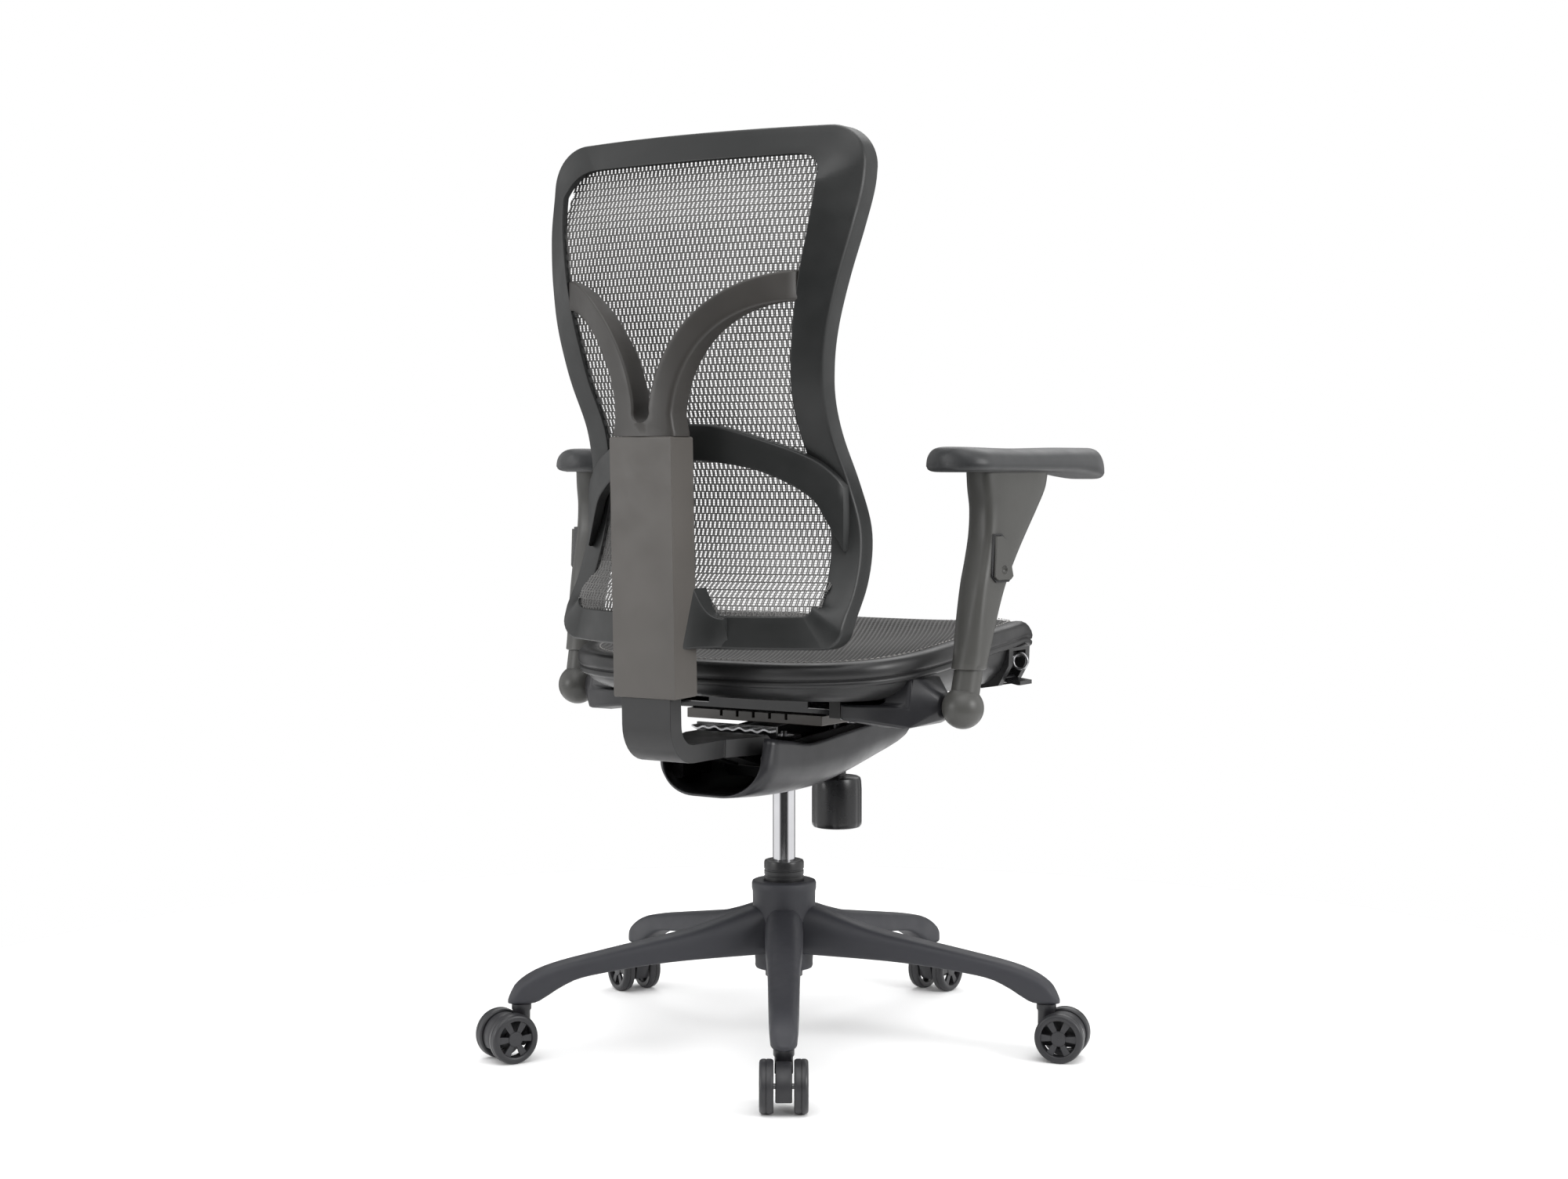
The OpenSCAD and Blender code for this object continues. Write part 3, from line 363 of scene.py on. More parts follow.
def leg_section(r):
    """A leg's outline across it at one distance from the centre."""
    half = smooth(LEG_HALF, min(r, LEG_ROUND))
    if r > LEG_ROUND:
        half = math.sqrt(max(LEG_END_R ** 2 - (r - LEG_ROUND) ** 2, 0.5))
    high, low = smooth(LEG_UPPER, r), smooth(LEG_LOWER, r)
    middle, rise = (high + low) / 2, (high - low) / 2
    ring = []
    for i in range(36):
        a = 2 * math.pi * i / 36
        p = smooth(LEG_ARCH, min(r, LEG_ROUND)) if math.sin(a) >= 0 else 4.5
        x, z = power(math.cos(a), 2 / (p + 1.2)), power(math.sin(a), 2 / p)
        ring.append((r, half * x, middle + rise * z))
    return ring


def star_base():
    """The hub, turned, with five legs."""
    stations = steps(22, 316, 28) + [322, 328, 334, 339, 343, 346.5, 349, 351, 352.3]
    leg = skin([leg_section(r) for r in stations])
    hub = lathe([(25.2, 199.5), (26, 200), (37, 200), (39.6, 199), (40.6, 196.5), (40.6, 190),
                 (39.6, 186), (39.2, 160), (37.8, 120), (36.2, 98), (36.4, 93), (35.4, 90.6),
                 (33.5, 90), (25.2, 90)])
    return joined(hub, *[turned(leg, turn) for turn in LEG_TURNS])


piece("star_base_form", star_base(), MATERIALS["base_nylon"], "base", ["star_base"], angle=48)

collar = lathe([(19.2, 80), (23.4, 80), (24.8, 150), (25, 205), (24.3, 205.6), (24.3, 206.8),
                (25, 207.4), (25, 212), (24.3, 212.6), (24.3, 213.8), (25, 214.4), (25, 222),
                (24.2, 224.4), (22.6, 225), (19.2, 225)])
piece("column_collar", collar, MATERIALS["column_black"], "base", ["gas_column"])
for name in ("column_clip", "thrust_bearing", "piston_rod", "valve_pin", "pivot_pins", "tension_bolt",
             "tray_screws", "runner_screws", "height_ratchet", "tilt_spring", "spring_strip",
             "depth_lever"):
    dress(name, MATERIALS["zinc_steel"])
dress("column_bush", MATERIALS["bush_black"])
dress("gas_cylinder", MATERIALS["chrome"])

# ------------------------------------------------------------------ casters

WHEEL_W, WHEEL_GAP, TRAIL, AXLE_Z = 16, 23, 20, 30
SPOKES = 6


def at_caster(shape, k):
    """Moves a shape drawn about a caster's stem to the end of a leg."""
    turn = math.radians(LEG_TURNS[k])
    at = (BASE_REACH * math.cos(turn), BASE_REACH * math.sin(turn), 0)
    return turned(shape, LEG_TURNS[k] + CASTER_TURNS[k], at)


def about_axle(shape):
    """Turns a shape made about +Z so that +Z runs along the axle, outward on the left."""
    return moved(shape, Matrix.Translation((TRAIL, 0, AXLE_Z)) @ Matrix.Rotation(math.radians(-90), 4, "X"))


def wheel():
    """One wheel: a grooved tyre, a boss and six spokes."""
    near, far = WHEEL_GAP / 2, WHEEL_GAP / 2 + WHEEL_W
    tyre = lathe([(22.4, near + 0.4), (27.6, near), (29.2, near + 1), (30, near + 3), (30, near + 7.4),
                  (29.4, near + 7.8), (29.4, near + 8.6), (30, near + 9), (30, far - 4), (29.4, far - 2),
                  (28.2, far - 0.6), (26.4, far), (23.2, far), (22, far - 0.8), (21.6, far - 2.2),
                  (21.6, far - 5.6), (22.4, far - 6)], turns=72)
    boss = lathe([(3.1, near + 2), (8, near + 2), (8, far - 6), (8.6, far - 5.6), (9.4, far - 2.6),
                  (8.8, far - 1.6), (0.2, far - 1), (0.2, far - 1.5), (3.1, far - 1.6)], turns=48)
    edge = [(8.2, 19.5), (14, 14.5), (21.9, 11.5)]
    outline = [(r, -a) for r, a in edge] + edge[::-1]
    spokes = []
    for i in range(SPOKES):
        flat = [(r * math.cos(math.radians(i * 60 + a)), r * math.sin(math.radians(i * 60 + a)))
                for r, a in outline]
        spokes.append(skin([[(x, y, level) for x, y in flat] for level in (far - 5.6, far - 2.4)]))
    return about_axle(joined(tyre, boss, *spokes))


def hood():
    """The housing between the wheels: an arc over the axle, flat below, with a neck to the stem."""
    arc_r, cx, cz = 27, 18, 34
    outline = [(43.7, 17.2)]
    outline += [(TRAIL + arc_r * math.cos(math.radians(a)), AXLE_Z + arc_r * math.sin(math.radians(a)))
                for a in steps(-21, 152, 25)]
    outline += [(-8.5, 45), (-9, 34), (-4, 20), (0, 17.2)]
    sections = []
    for y, inset in ((-9.4, 1.6), (-9, 0.6), (-8, 0), (8, 0), (9, 0.6), (9.4, 1.6)):
        scale = 1 - inset / arc_r
        sections.append([(cx + (x - cx) * scale, y, cz + (z - cz) * scale) for x, z in outline])
    neck = lathe([(0.5, 40), (10.5, 40), (10.5, 58), (12, 60.5), (12, 66.6), (11.4, 67.4),
                  (0.5, 67.4)], turns=48)
    return joined(skin(sections), neck)


for k in range(LEG_COUNT):
    number = k + 1
    outer = wheel()
    opposite = [(x, -y, z) for x, y, z in outer[0]], [tuple(reversed(f)) for f in outer[1]]
    pair = at_caster(joined(outer, opposite), k)
    piece(f"wheels_{number}", pair, MATERIALS["wheel_black"], f"wheels_{number}",
          [f"caster_wheels_{number}"])
    piece(f"hood_{number}", at_caster(hood(), k), MATERIALS["hood_black"], f"caster_{number}",
          [f"caster_housing_{number}"])
    dress(f"caster_pins_{number}", MATERIALS["zinc_steel"])

# ------------------------------------------------------------------ mechanism

# Along the cover from front to rear: its keel, half width and upper edge.
KEEL = [(-196, 377), (-186, 364), (-165, 354), (-127, 344), (-70, 332), (0, 322), (90, 321), (172, 326)]
COVER_HALF = [(-196, 50), (-193, 64), (-186, 74), (-172, 79.5), (-150, 80), (150, 80), (160, 79), (172, 70)]
COVER_TOP = [(-196, 395), (-100, 394.5), (0, 388), (70, 383), (120, 391), (172, 396)]
KNOB_Y = -127


def mechanism_cover():
    """The boat: an open shell with upright sides that curve into a flat keel, cut slanting at the rear."""
    stations = [-196, -194.5, -192, -188, -182] + steps(-174, 172, 34)
    rows = []
    for y in stations:
        low, half = smooth(KEEL, y), smooth(COVER_HALF, y)
        high = smooth(COVER_TOP, y)
        row = []
        round_x, round_z = min(56, half * 0.72), min(40, 0.7 * (high - low))
        arc = [(half - round_x * (1 - math.cos(a)), low + round_z * (1 - math.sin(a)))
               for a in steps(0, math.pi / 2, 14)]
        side = [(half, high + (low + round_z - high) * f) for f in steps(0, 0.9, 4)] + arc
        for x, z in side + [(-x, z) for x, z in side[::-1]]:
            lean = 20 * (z - low) / (high - low) * max(0, y - 130) / 42
            row.append((x, y - lean, z))
        rows.append(row)
    points = [p for row in rows for p in row]
    m = len(rows[0])
    faces = [(i * m + j, (i + 1) * m + j, (i + 1) * m + j + 1, i * m + j + 1)
             for i in range(len(rows) - 1) for j in range(m - 1)]
    return points, faces


cover = piece("boat_cover", mechanism_cover(), MATERIALS["cover_black"], "mechanism",
              ["mechanism_cover"])
shell = cover.modifiers.new("wall", "SOLIDIFY")
shell.thickness = 2.6 * MM
shell.offset = 1.0
dress("mechanism_chassis", MATERIALS["chassis_steel"], 1.5)


def tension_knob():
    """A round knob with six shallow flutes and a neck."""
    sections = []
    for z, r in ((250.5, 2), (250.5, 28), (251.5, 30.6), (254, 32.2), (258, 32.5), (300, 32.5),
                 (311, 31.8), (315, 30.6), (316.5, 28), (316.5, 12.6), (317, 12), (345, 12)):
        flute = 0.9 if 253 < z < 314 else 0
        ring = []
        for i in range(128):
            a = 2 * math.pi * i / 128
            reach = r - flute * max(0, math.cos(6 * a)) ** 6
            ring.append((reach * math.cos(a), KNOB_Y + reach * math.sin(a), z))
        sections.append(ring)
    return skin(sections)


piece("knob_grip", tension_knob(), MATERIALS["knob_black"], "knob", ["tension_knob"])
dress("rear_castings", MATERIALS["tray_black"], 1.2)
dress("seat_plate", MATERIALS["plate_steel"], 1.2)
dress("slide_tray", MATERIALS["tray_black"], 2.0)
dress("seat_runners", MATERIALS["bush_black"], 1.0)

# ------------------------------------------------------------------ back bar, spine and brace

dress("back_bar", MATERIALS["bar_black"], 3.0)
dress("spine_cover", MATERIALS["spine_grey"], 3.2)

BRACE_END = 168  # half the brace's span
FACE_SHARES = (0.25, 0.5, 0.75)


def brace_rear(x):
    """How far back the brace's rear face lies."""
    return 307 - 0.00292 * x * x


def brace_depth(x):
    """The brace's depth, front to rear."""
    return 37 - 28 * (min(x, BRACE_END) / BRACE_END) ** 2


def brace_arm():
    """One arm of the brace: sections from its inner, upper edge to its outer, lower edge."""
    turns = [math.radians(a) for a in steps(4, 84, 26)]
    inner = [(0, 755.4), (0, 771), (3.6, 771.6), (6.8, 773.6), (9.4, 777), (11, 782)]
    inner += [(BRACE_END - 158 * math.cos(a) ** 1.11, 780 + 166 * math.sin(a) ** 1.11) for a in turns]
    inner.append((BRACE_END - 1, 946.4))
    outer = [(44, 755.4), (44, 757), (44, 759), (43.6, 761.5), (43, 764), (42.2, 768)]
    outer += [(BRACE_END - 128 * math.cos(a), 770 + 140 * math.sin(a)) for a in turns]
    outer.append((BRACE_END - 1, 910.4))
    sections = []
    for (xi, zi), (xo, zo) in zip(inner, outer):
        width = math.hypot(xo - xi, zo - zi)
        round_in, round_out = min(3.5, xi / 3.6), 4.5
        ring = []
        corners = ((0, 0, round_in, 1), (1, 0, round_out, -1), (1, 1, round_out, -1), (0, 1, round_in, 1))
        for s, d, r, sign in corners:
            starts_face = s == d
            for a in steps(0, 90, 4):
                t = math.radians(a)
                near, far = r * (1 - math.sin(t)), r * (1 - math.cos(t))
                across = s * width + sign * (far if starts_face else near)
                down = near if starts_face else far
                x = xi + (xo - xi) * across / width
                z = zi + (zo - zi) * across / width
                rear, depth = brace_rear(x), brace_depth(x)
                y = rear - down if d == 0 else rear - depth + down
                ring.append((x, y, z))
            if starts_face:
                for f in FACE_SHARES:
                    across = width * (f if s == 0 else 1 - f)
                    x, z = xi + (xo - xi) * across / width, zi + (zo - zi) * across / width
                    ring.append((x, brace_rear(x) - (0 if d == 0 else brace_depth(x)), z))
        sections.append(ring)
    return skin(sections)


arm = brace_arm()
piece("brace_form", joined(arm, mirrored(arm)), MATERIALS["brace_grey"], "backrest",
      ["y_brace"], angle=50)

# ------------------------------------------------------------------ back frame

FRAME_TOP, FRAME_BOTTOM, TOP_R, BOTTOM_R, RAIL_H, CROSSBAR_H = 1118, 508, 50, 25, 35, 39
TOP_BOW, BOTTOM_BOW, CORNER_R = 21, 59, 33
# By height: half the frame's width, its rear line, the width of its sides and how far they turn in.
FRAME_HALF_W = [(508, 200), (560, 204), (640, 200), (700, 187), (770, 177), (840, 186), (920, 203),
                (1000, 220), (1050, 226), (1118, 225)]
FRAME_REAR_Y = [(508, 196), (540, 188), (580, 163), (620, 148), (660, 144), (700, 151), (760, 175),
                (820, 201), (880, 211), (940, 206), (1000, 193), (1060, 178), (1118, 176)]
FRAME_MEMBER = [(508, 33), (700, 36), (850, 38), (1000, 43), (1118, 45)]
FRAME_TURN = [(508, 12), (850, 12), (950, 25), (1050, 38), (1118, 40)]


def side_station(z):
    """The outer and inner edge of the frame's side at one height."""
    w, y, m = smooth(FRAME_HALF_W, z), smooth(FRAME_REAR_Y, z), smooth(FRAME_MEMBER, z)
    inner_z = min(FRAME_TOP - RAIL_H - CORNER_R, max(FRAME_BOTTOM + CROSSBAR_H + 12, z))
    return (w, y, z), (w - m, y + smooth(FRAME_TURN, z), inner_z)


def top_corner(a):
    """The outer and inner edge of the frame round its upper corner."""
    c, s = math.cos(a), math.sin(a)
    z = FRAME_TOP - TOP_R
    w, y, m = smooth(FRAME_HALF_W, z), smooth(FRAME_REAR_Y, z + TOP_R * s), smooth(FRAME_MEMBER, z)
    outer = (w - TOP_R + TOP_R * c, y, z + TOP_R * s)
    return outer, (w - m - CORNER_R * (1 - c), y + 40 - 20 * s, FRAME_TOP - RAIL_H - CORNER_R * (1 - s))


def bottom_corner(a):
    """The outer and inner edge of the frame round its lower corner."""
    c, s = math.cos(a), math.sin(a)
    z = FRAME_BOTTOM + BOTTOM_R
    w, y = smooth(FRAME_HALF_W, z), smooth(FRAME_REAR_Y, z - BOTTOM_R * s)
    outer = (w - BOTTOM_R + BOTTOM_R * c, y, z - BOTTOM_R * s)
    return outer, (w - 45 + 12 * c, y + 12, FRAME_BOTTOM + CROSSBAR_H + 12 - 12 * s)


def bow(x, w, by):
    """How far a bar that bows back by a given amount in its middle is back at x."""
    return by * (1 - (abs(x) / w) ** 2)


def top_station(x):
    """The outer and inner edge of the top rail at one place along it."""
    y = 176 + bow(x, 176, TOP_BOW)
    return (x, y, FRAME_TOP), (x * 161 / 176, y + 12 + 8 * (x / 176) ** 2, FRAME_TOP - RAIL_H)


def bottom_station(x):
    """The outer and inner edge of the crossbar at one place along it."""
    y = 196 + bow(x, 175, BOTTOM_BOW)
    inner = (x * 154 / 175, 208 + bow(x, 175, BOTTOM_BOW - 8), FRAME_BOTTOM + CROSSBAR_H)
    return (x, y, FRAME_BOTTOM), inner


WALL_FRONT, INNER_DEPTH = 29, 11


def frame_ring(outer, inner):
    """A rounded section of the frame: rear face from outer to inner edge, side walls, front face."""
    o, i = Vector(outer), Vector(inner)
    front = Vector((0, -1, 0))
    corners = [(o, 3.6), (o + front * WALL_FRONT, 3.0), (i + front * INNER_DEPTH, 2.0), (i, 2.2)]
    ring = []
    for k, (at, r) in enumerate(corners):
        before = (corners[k - 1][0] - at).normalized()
        after = (corners[(k + 1) % 4][0] - at).normalized()
        for a in steps(0, math.pi / 2, 5):
            ring.append(at + before * r * (1 - math.sin(a)) + after * r * (1 - math.cos(a)))
    ring += [i + (o - i) * f for f in (0.3, 0.5, 0.7)]
    return [tuple(p) for p in ring]


def back_frame():
    """The frame's closed ring, one half drawn from the crossbar up and mirrored."""
    half = [bottom_station(x) for x in steps(0, 150, 16)]
    half += [bottom_corner(math.radians(a)) for a in steps(90, 0, 8)]
    half += [side_station(z) for z in steps(548, 1054, 60)]
    half += [top_corner(math.radians(a)) for a in steps(0, 90, 14)]
    half += [top_station(x) for x in steps(150, 0, 12)]
    rings = [frame_ring(o, i) for o, i in half]
    other = [[(-x, y, z) for x, y, z in ring] for ring in rings[-2:0:-1]]
    return skin(rings + other, cyclic=True)


# By distance from the middle: the upper and lower edge of the arch.
ARCH_UPPER = [(0, 771), (44, 769), (103, 752), (155, 730), (180, 707), (196, 680)]
ARCH_LOWER = [(0, 727), (44, 725.5), (103, 713), (155, 682), (172, 650), (196, 600)]


def arch():
    """The cross member behind the mesh, curved down and forward to both sides."""
    sections = []
    for x in steps(-186, 186, 60):
        high, low = smooth(ARCH_UPPER, abs(x)), smooth(ARCH_LOWER, abs(x))
        y = 226 - 72 * (x / 196) ** 2
        ring = [(x, y - 9 + dy, (high + low) / 2 + dz)
                for dz, dy in rounded_box_ring(high - low, 18, 3.2, 4, 2)]
        sections.append(ring)
    return skin(sections)


def crossbar_bracket():
    """The fairing that carries the crossbar up and back to the side of the spine."""
    sections = []
    for f in steps(0, 1, 12):
        x = 43.6 + 36 * f
        back, up = (1 - f) ** 1.8, (1 - f) ** 2.4
        base = 196 + bow(x, 175, BOTTOM_BOW)
        top_y = base + 10 + (262 - base - 10) * back
        low_y = base - 2 + (284 - base + 2) * back
        low, high = FRAME_BOTTOM + 1.5, FRAME_BOTTOM + CROSSBAR_H - 2 + 34 * up
        sections.append([(x, top_y - 26, high), (x, top_y - 2, high), (x, top_y - 0.6, high - 0.6),
                         (x, top_y, high - 2.4), (x, low_y, low + 3), (x, low_y - 0.8, low + 0.8),
                         (x, low_y - 3, low), (x, low_y - 26, low)])
    return skin(sections)


bracket = crossbar_bracket()
piece("back_frame_form", joined(back_frame(), arch(), bracket, mirrored(bracket)),
      MATERIALS["frame_black"], "backrest", ["back_frame"], angle=50)

# ------------------------------------------------------------------ back mesh

MESH_BOW = [(508, 44), (600, 40), (700, 26), (850, 15), (1000, 17), (1118, 19)]
YARN_PITCH, YARN_ROW, YARN_SWING, YARN_W, YARN_T = 3.1, 8.8, 0.6, 1.86, 0.9


def ease(value):
    """0 below 0, 1 above 1, with a soft passage between."""
    s = min(1.0, max(0.0, value))
    return s * s * (3 - 2 * s)


def mesh_half(z):
    """Half the mesh's width at a height, drawn in at the frame's rounded upper corners."""
    corner = max(0, z - (FRAME_TOP - RAIL_H - CORNER_R)) / (CORNER_R + 6)
    cut_in = 20 * (1 - math.sqrt(max(0, 1 - corner ** 2)))
    return smooth(FRAME_HALF_W, z) - smooth(FRAME_MEMBER, z) + 7 + 5 * corner - cut_in


def mesh_y(x, z, half):
    """The mesh's place: it sags back between the sides and runs in under the rail and the crossbar."""
    y = (smooth(FRAME_REAR_Y, z) + smooth(FRAME_TURN, z) - 9
         + smooth(MESH_BOW, z) * (1 - min(1, (x / half) ** 2)))
    top, low = ease((z - 1000) / 84), ease((600 - z) / 54)
    y += top * (175 + bow(x, 176, TOP_BOW) + 8 * (x / 176) ** 2 - y)
    return y + low * (196.5 + bow(x, 175, BOTTOM_BOW - 8) - y)


def yarn_run(points, half_width, thick):
    """A flat-backed strand through (x, y, z) points, standing out to the rear."""
    return skin([[(x - half_width, y, z), (x + half_width, y, z), (x, y + thick, z)] for x, y, z in points])


def back_weave():
    """Upright yarns that sway to one neighbour and then the other, over cross threads."""
    low, high = FRAME_BOTTOM + CROSSBAR_H - 6, FRAME_TOP - RAIL_H + 4
    rows = int((high - low) / YARN_ROW)
    shapes = []
    count = int(max(mesh_half(low + YARN_ROW * row) for row in range(rows)) / YARN_PITCH)
    for n in range(-count, count + 1):
        run = []
        for row in range(rows):
            sway = YARN_SWING if (n + row) % 2 else -YARN_SWING
            for share in (0.16, 0.84):
                z = low + YARN_ROW * (row + share)
                half = mesh_half(z)
                x = n * YARN_PITCH + sway
                if abs(x) < half:
                    run.append((x, mesh_y(x, z, half), z))
                else:
                    if len(run) > 1:
                        shapes.append(yarn_run(run, YARN_W / 2, YARN_T))
                    run = []
        if len(run) > 1:
            shapes.append(yarn_run(run, YARN_W / 2, YARN_T))
    for row in range(rows + 1):
        for rise, tall in ((0, 0.8), (0.34, 0.26), (0.67, 0.26)):
            z = low + YARN_ROW * (row + rise)
            half = mesh_half(z)
            sections = []
            for x in steps(-half + 0.5, half - 0.5, 44):
                y = mesh_y(x, z, half)
                sections.append([(x, y - 0.1, z - tall), (x, y - 0.1, z + tall), (x, y - 0.8, z)])
            shapes.append(skin(sections))
    return joined(*shapes)


weave = piece("back_weave", back_weave(), MATERIALS["back_weave"], "backrest", ["back_mesh"],
              angle=80, merge=0)
back_area = sum(2 * mesh_half(z) * 10 for z in steps(545, 1085, 54)) * MM * MM

# ------------------------------------------------------------------ seat

SEAT_HALF_W, SEAT_REAR, SEAT_FRONT = 250, 200, -310
SEAT_MID, SEAT_HALF_L = (SEAT_REAR + SEAT_FRONT) / 2, (SEAT_REAR - SEAT_FRONT) / 2
RIM_LINE = [(-310, 497), (-300, 506), (-280, 518), (-250, 525), (-200, 524), (-60, 514), (100, 498),
            (200, 490)]
PAN_FLOOR = 441.5
SEAT_STEPS = 160
SEAT_SQUARE = 3.6  # squareness of the seat's outline


def seat_plan(a, inset):
    """A point on the seat's outline, drawn in by an inset."""
    c, s = squircle(a, SEAT_SQUARE)
    return (SEAT_HALF_W - inset) * c, SEAT_MID + (SEAT_HALF_L - inset) * s


def corner_share(x, y):
    """1 at the seat's two front corners, 0 away from them."""
    return ease((abs(x) - 150) / 90) * ease((-y - 190) / 100)


def rim_z(x, y):
    """Height of the rim's line: a waterfall front, lower still at the two front corners."""
    return smooth(RIM_LINE, y) - 15 * corner_share(x, y)


def seat_angles():
    """Angles that spread the points evenly round the seat's squared outline."""
    fine = [2 * math.pi * i / 2000 for i in range(2001)]
    line = [seat_plan(a, 0) for a in fine]
    run = [0.0]
    for p, q in zip(line, line[1:]):
        run.append(run[-1] + math.dist(p, q))
    return [float(np.interp(run[-1] * i / SEAT_STEPS, run, fine)) for i in range(SEAT_STEPS)]


SEAT_ANGLES = seat_angles()
# Profiles from the mesh outward and down: inset from the outline, drop from the rim's line.
RIM_PROFILE = [(26, 3), (20, 1.2), (13, 0.3), (7, 0.6), (3.2, 2.6), (0.9, 6), (0, 11), (0.4, 16),
               (1.6, 19.4), (3.4, 20.4), (3.6, 21.6), (2.4, 22.6), (1.4, 24.4), (1.8, 27.4),
               (4, 29.6), (12, 30), (20, 24), (26, 12)]


def seat_ring(profile):
    """A profile carried round the seat's outline, rolled inward at the two front corners."""
    sections = []
    for a in SEAT_ANGLES:
        x, y = seat_plan(a, 0)
        z, share = rim_z(x, y), corner_share(x, y)
        ring = []
        for inset, drop in profile:
            roll = 12 * max(0, 1 - drop / 22) ** 2 - 7 * math.sin(math.pi * min(1, drop / 44))
            x, y = seat_plan(a, inset + share * roll)
            ring.append((x, y, z - drop))
        sections.append(ring)
    return skin(sections, cyclic=True)


# Inset from the outline and share of the way down to the pan's floor.
PAN_PROFILE = [(7, 0.0), (8.5, 0.1), (11, 0.3), (16, 0.52), (24, 0.72), (34, 0.88), (44, 0.96), (54, 1.0)]


def seat_pan():
    """The pan: a dished shell 3 mm thick under the rim."""
    sections = []
    for inset, share in PAN_PROFILE + [(120, 1.0), (200, 1.0), (236, 1.0)]:
        ring = []
        for a in SEAT_ANGLES:
            x, y = seat_plan(a, inset - 6 * corner_share(*seat_plan(a, 5)) * (1 - share))
            z = rim_z(*seat_plan(a, 5)) - 26.5
            ring.append((x, y, z - (z - PAN_FLOOR) * share))
        sections.append(ring)
    inner = []
    for ring in sections[::-1]:
        inner.append([(x * 0.985, SEAT_MID + (y - SEAT_MID) * 0.985, z + 3) for x, y, z in ring])
    return skin(sections + inner)


SEAT_YARN, SEAT_ROW, SEAT_SWING, SEAT_YARN_W = 3.2, 7.2, 0.74, 0.86
CLOTH_HALF_W, CLOTH_HALF_L = 231, 237


def seat_top(x, y):
    """The seat mesh's surface, dished inside the rim."""
    p = SEAT_SQUARE
    r = (abs(x / 230) ** p + abs((y - SEAT_MID) / 235) ** p) ** (1 / p)
    return rim_z(x, y) - 3.2 - 20 * (1 - min(1, r) ** 2.4)


def seat_reach(along, half_along, half_across):
    """How far the seat mesh reaches across at one place along it."""
    share = min(1.0, abs(along) / half_along)
    return half_across * (1 - share ** SEAT_SQUARE) ** (1 / SEAT_SQUARE)


def seat_weave():
    """Yarns that run front to back and sway from neighbour to neighbour, over cross threads."""
    shapes = []
    count = int(CLOTH_HALF_W / SEAT_YARN)
    for n in range(-count, count + 1):
        reach = seat_reach(n * SEAT_YARN, CLOTH_HALF_W + 1, CLOTH_HALF_L)
        rows = int(2 * reach / SEAT_ROW)
        run = []
        for row in range(rows):
            place = row - rows // 2
            for share in (0.16, 0.84):
                x = n * SEAT_YARN + (SEAT_SWING if (n + place) % 2 else -SEAT_SWING)
                y = SEAT_MID + SEAT_ROW * (place + share)
                z = seat_top(x, y)
                run.append([(x - SEAT_YARN_W, y, z), (x, y, z + 0.9), (x + SEAT_YARN_W, y, z)])
        if len(run) > 1:
            shapes.append(skin(run))
    last = int((CLOTH_HALF_L - 1) / SEAT_ROW)
    for place in range(-last, last + 1):
        for rise, wide in ((0, 0.9), (0.5, 0.2)):
            y = SEAT_MID + SEAT_ROW * (place + rise)
            reach = seat_reach(y - SEAT_MID, CLOTH_HALF_L, CLOTH_HALF_W)
            run = []
            for x in steps(-reach, reach, 40):
                z = seat_top(x, y)
                run.append([(x, y - wide, z + 0.1), (x, y + wide, z + 0.1), (x, y, z - 0.8)])
            shapes.append(skin(run))
    return joined(*shapes)


piece("seat_rim", seat_ring(RIM_PROFILE), MATERIALS["pan_black"], "seat",
      ["seat_frame"], angle=60)
piece("seat_shell", seat_pan(), MATERIALS["pan_black"], "seat", ["seat_pan"], angle=60)
seat_cloth = piece("seat_cloth", seat_weave(), MATERIALS["seat_weave"], "seat",
                   ["seat_mesh"], angle=80, merge=0)


STITCH_INSET, STITCH_PITCH, STITCH_LENGTH = 24, 8, 5.2


def stitches():
    """A row of stitches along the inner edge of the seat's rim."""
    shapes = []
    outline = [seat_plan(a, STITCH_INSET) for a in SEAT_ANGLES]
    closed = outline + outline[:1]
    run = [0.0]
    for p, q in zip(closed, closed[1:]):
        run.append(run[-1] + math.dist(p, q))
    count = int(run[-1] / STITCH_PITCH)
    for i in range(count):
        sections = []
        for f, r in ((0, 0.25), (0.25, 0.75), (0.5, 0.9), (0.75, 0.75), (1, 0.25)):
            at = run[-1] * i / count + STITCH_LENGTH * f
            x = float(np.interp(at % run[-1], run, [p[0] for p in closed]))
            y = float(np.interp(at % run[-1], run, [p[1] for p in closed]))
            outward = math.atan2(y - SEAT_MID, x)
            z = rim_z(x, y) - 2.0 + 0.5 * math.sin(math.pi * f)
            ring = []
            for j in range(6):
                b = math.pi / 3 * j
                ring.append((x + r * math.cos(outward) * math.cos(b),
                             y + r * math.sin(outward) * math.cos(b), z + r * 0.7 * math.sin(b)))
            sections.append(ring)
        shapes.append(skin(sections))
    return joined(*shapes)


thread = yarn("thread_grey", (0.22, 0.21, 0.2))
piece("seat_stitches", stitches(), thread, "seat", angle=80, merge=0)

# ------------------------------------------------------------------ levers

dress("lever_block", MATERIALS["pan_black"], 1.2)
dress("height_lever", MATERIALS["knob_black"], 0.8)

# ------------------------------------------------------------------ arms

ARM_X, ARM_Y, BALL_Z, ARM_TOE = 285.6, 54, 436, 10
PAD_UNDER, PAD_TOP, PAD_WIDTH = 713.6, 744, 90
PAD_REAR, PAD_FRONT, PAD_END_R, PAD_INWARD = 25, -265, 40, 11
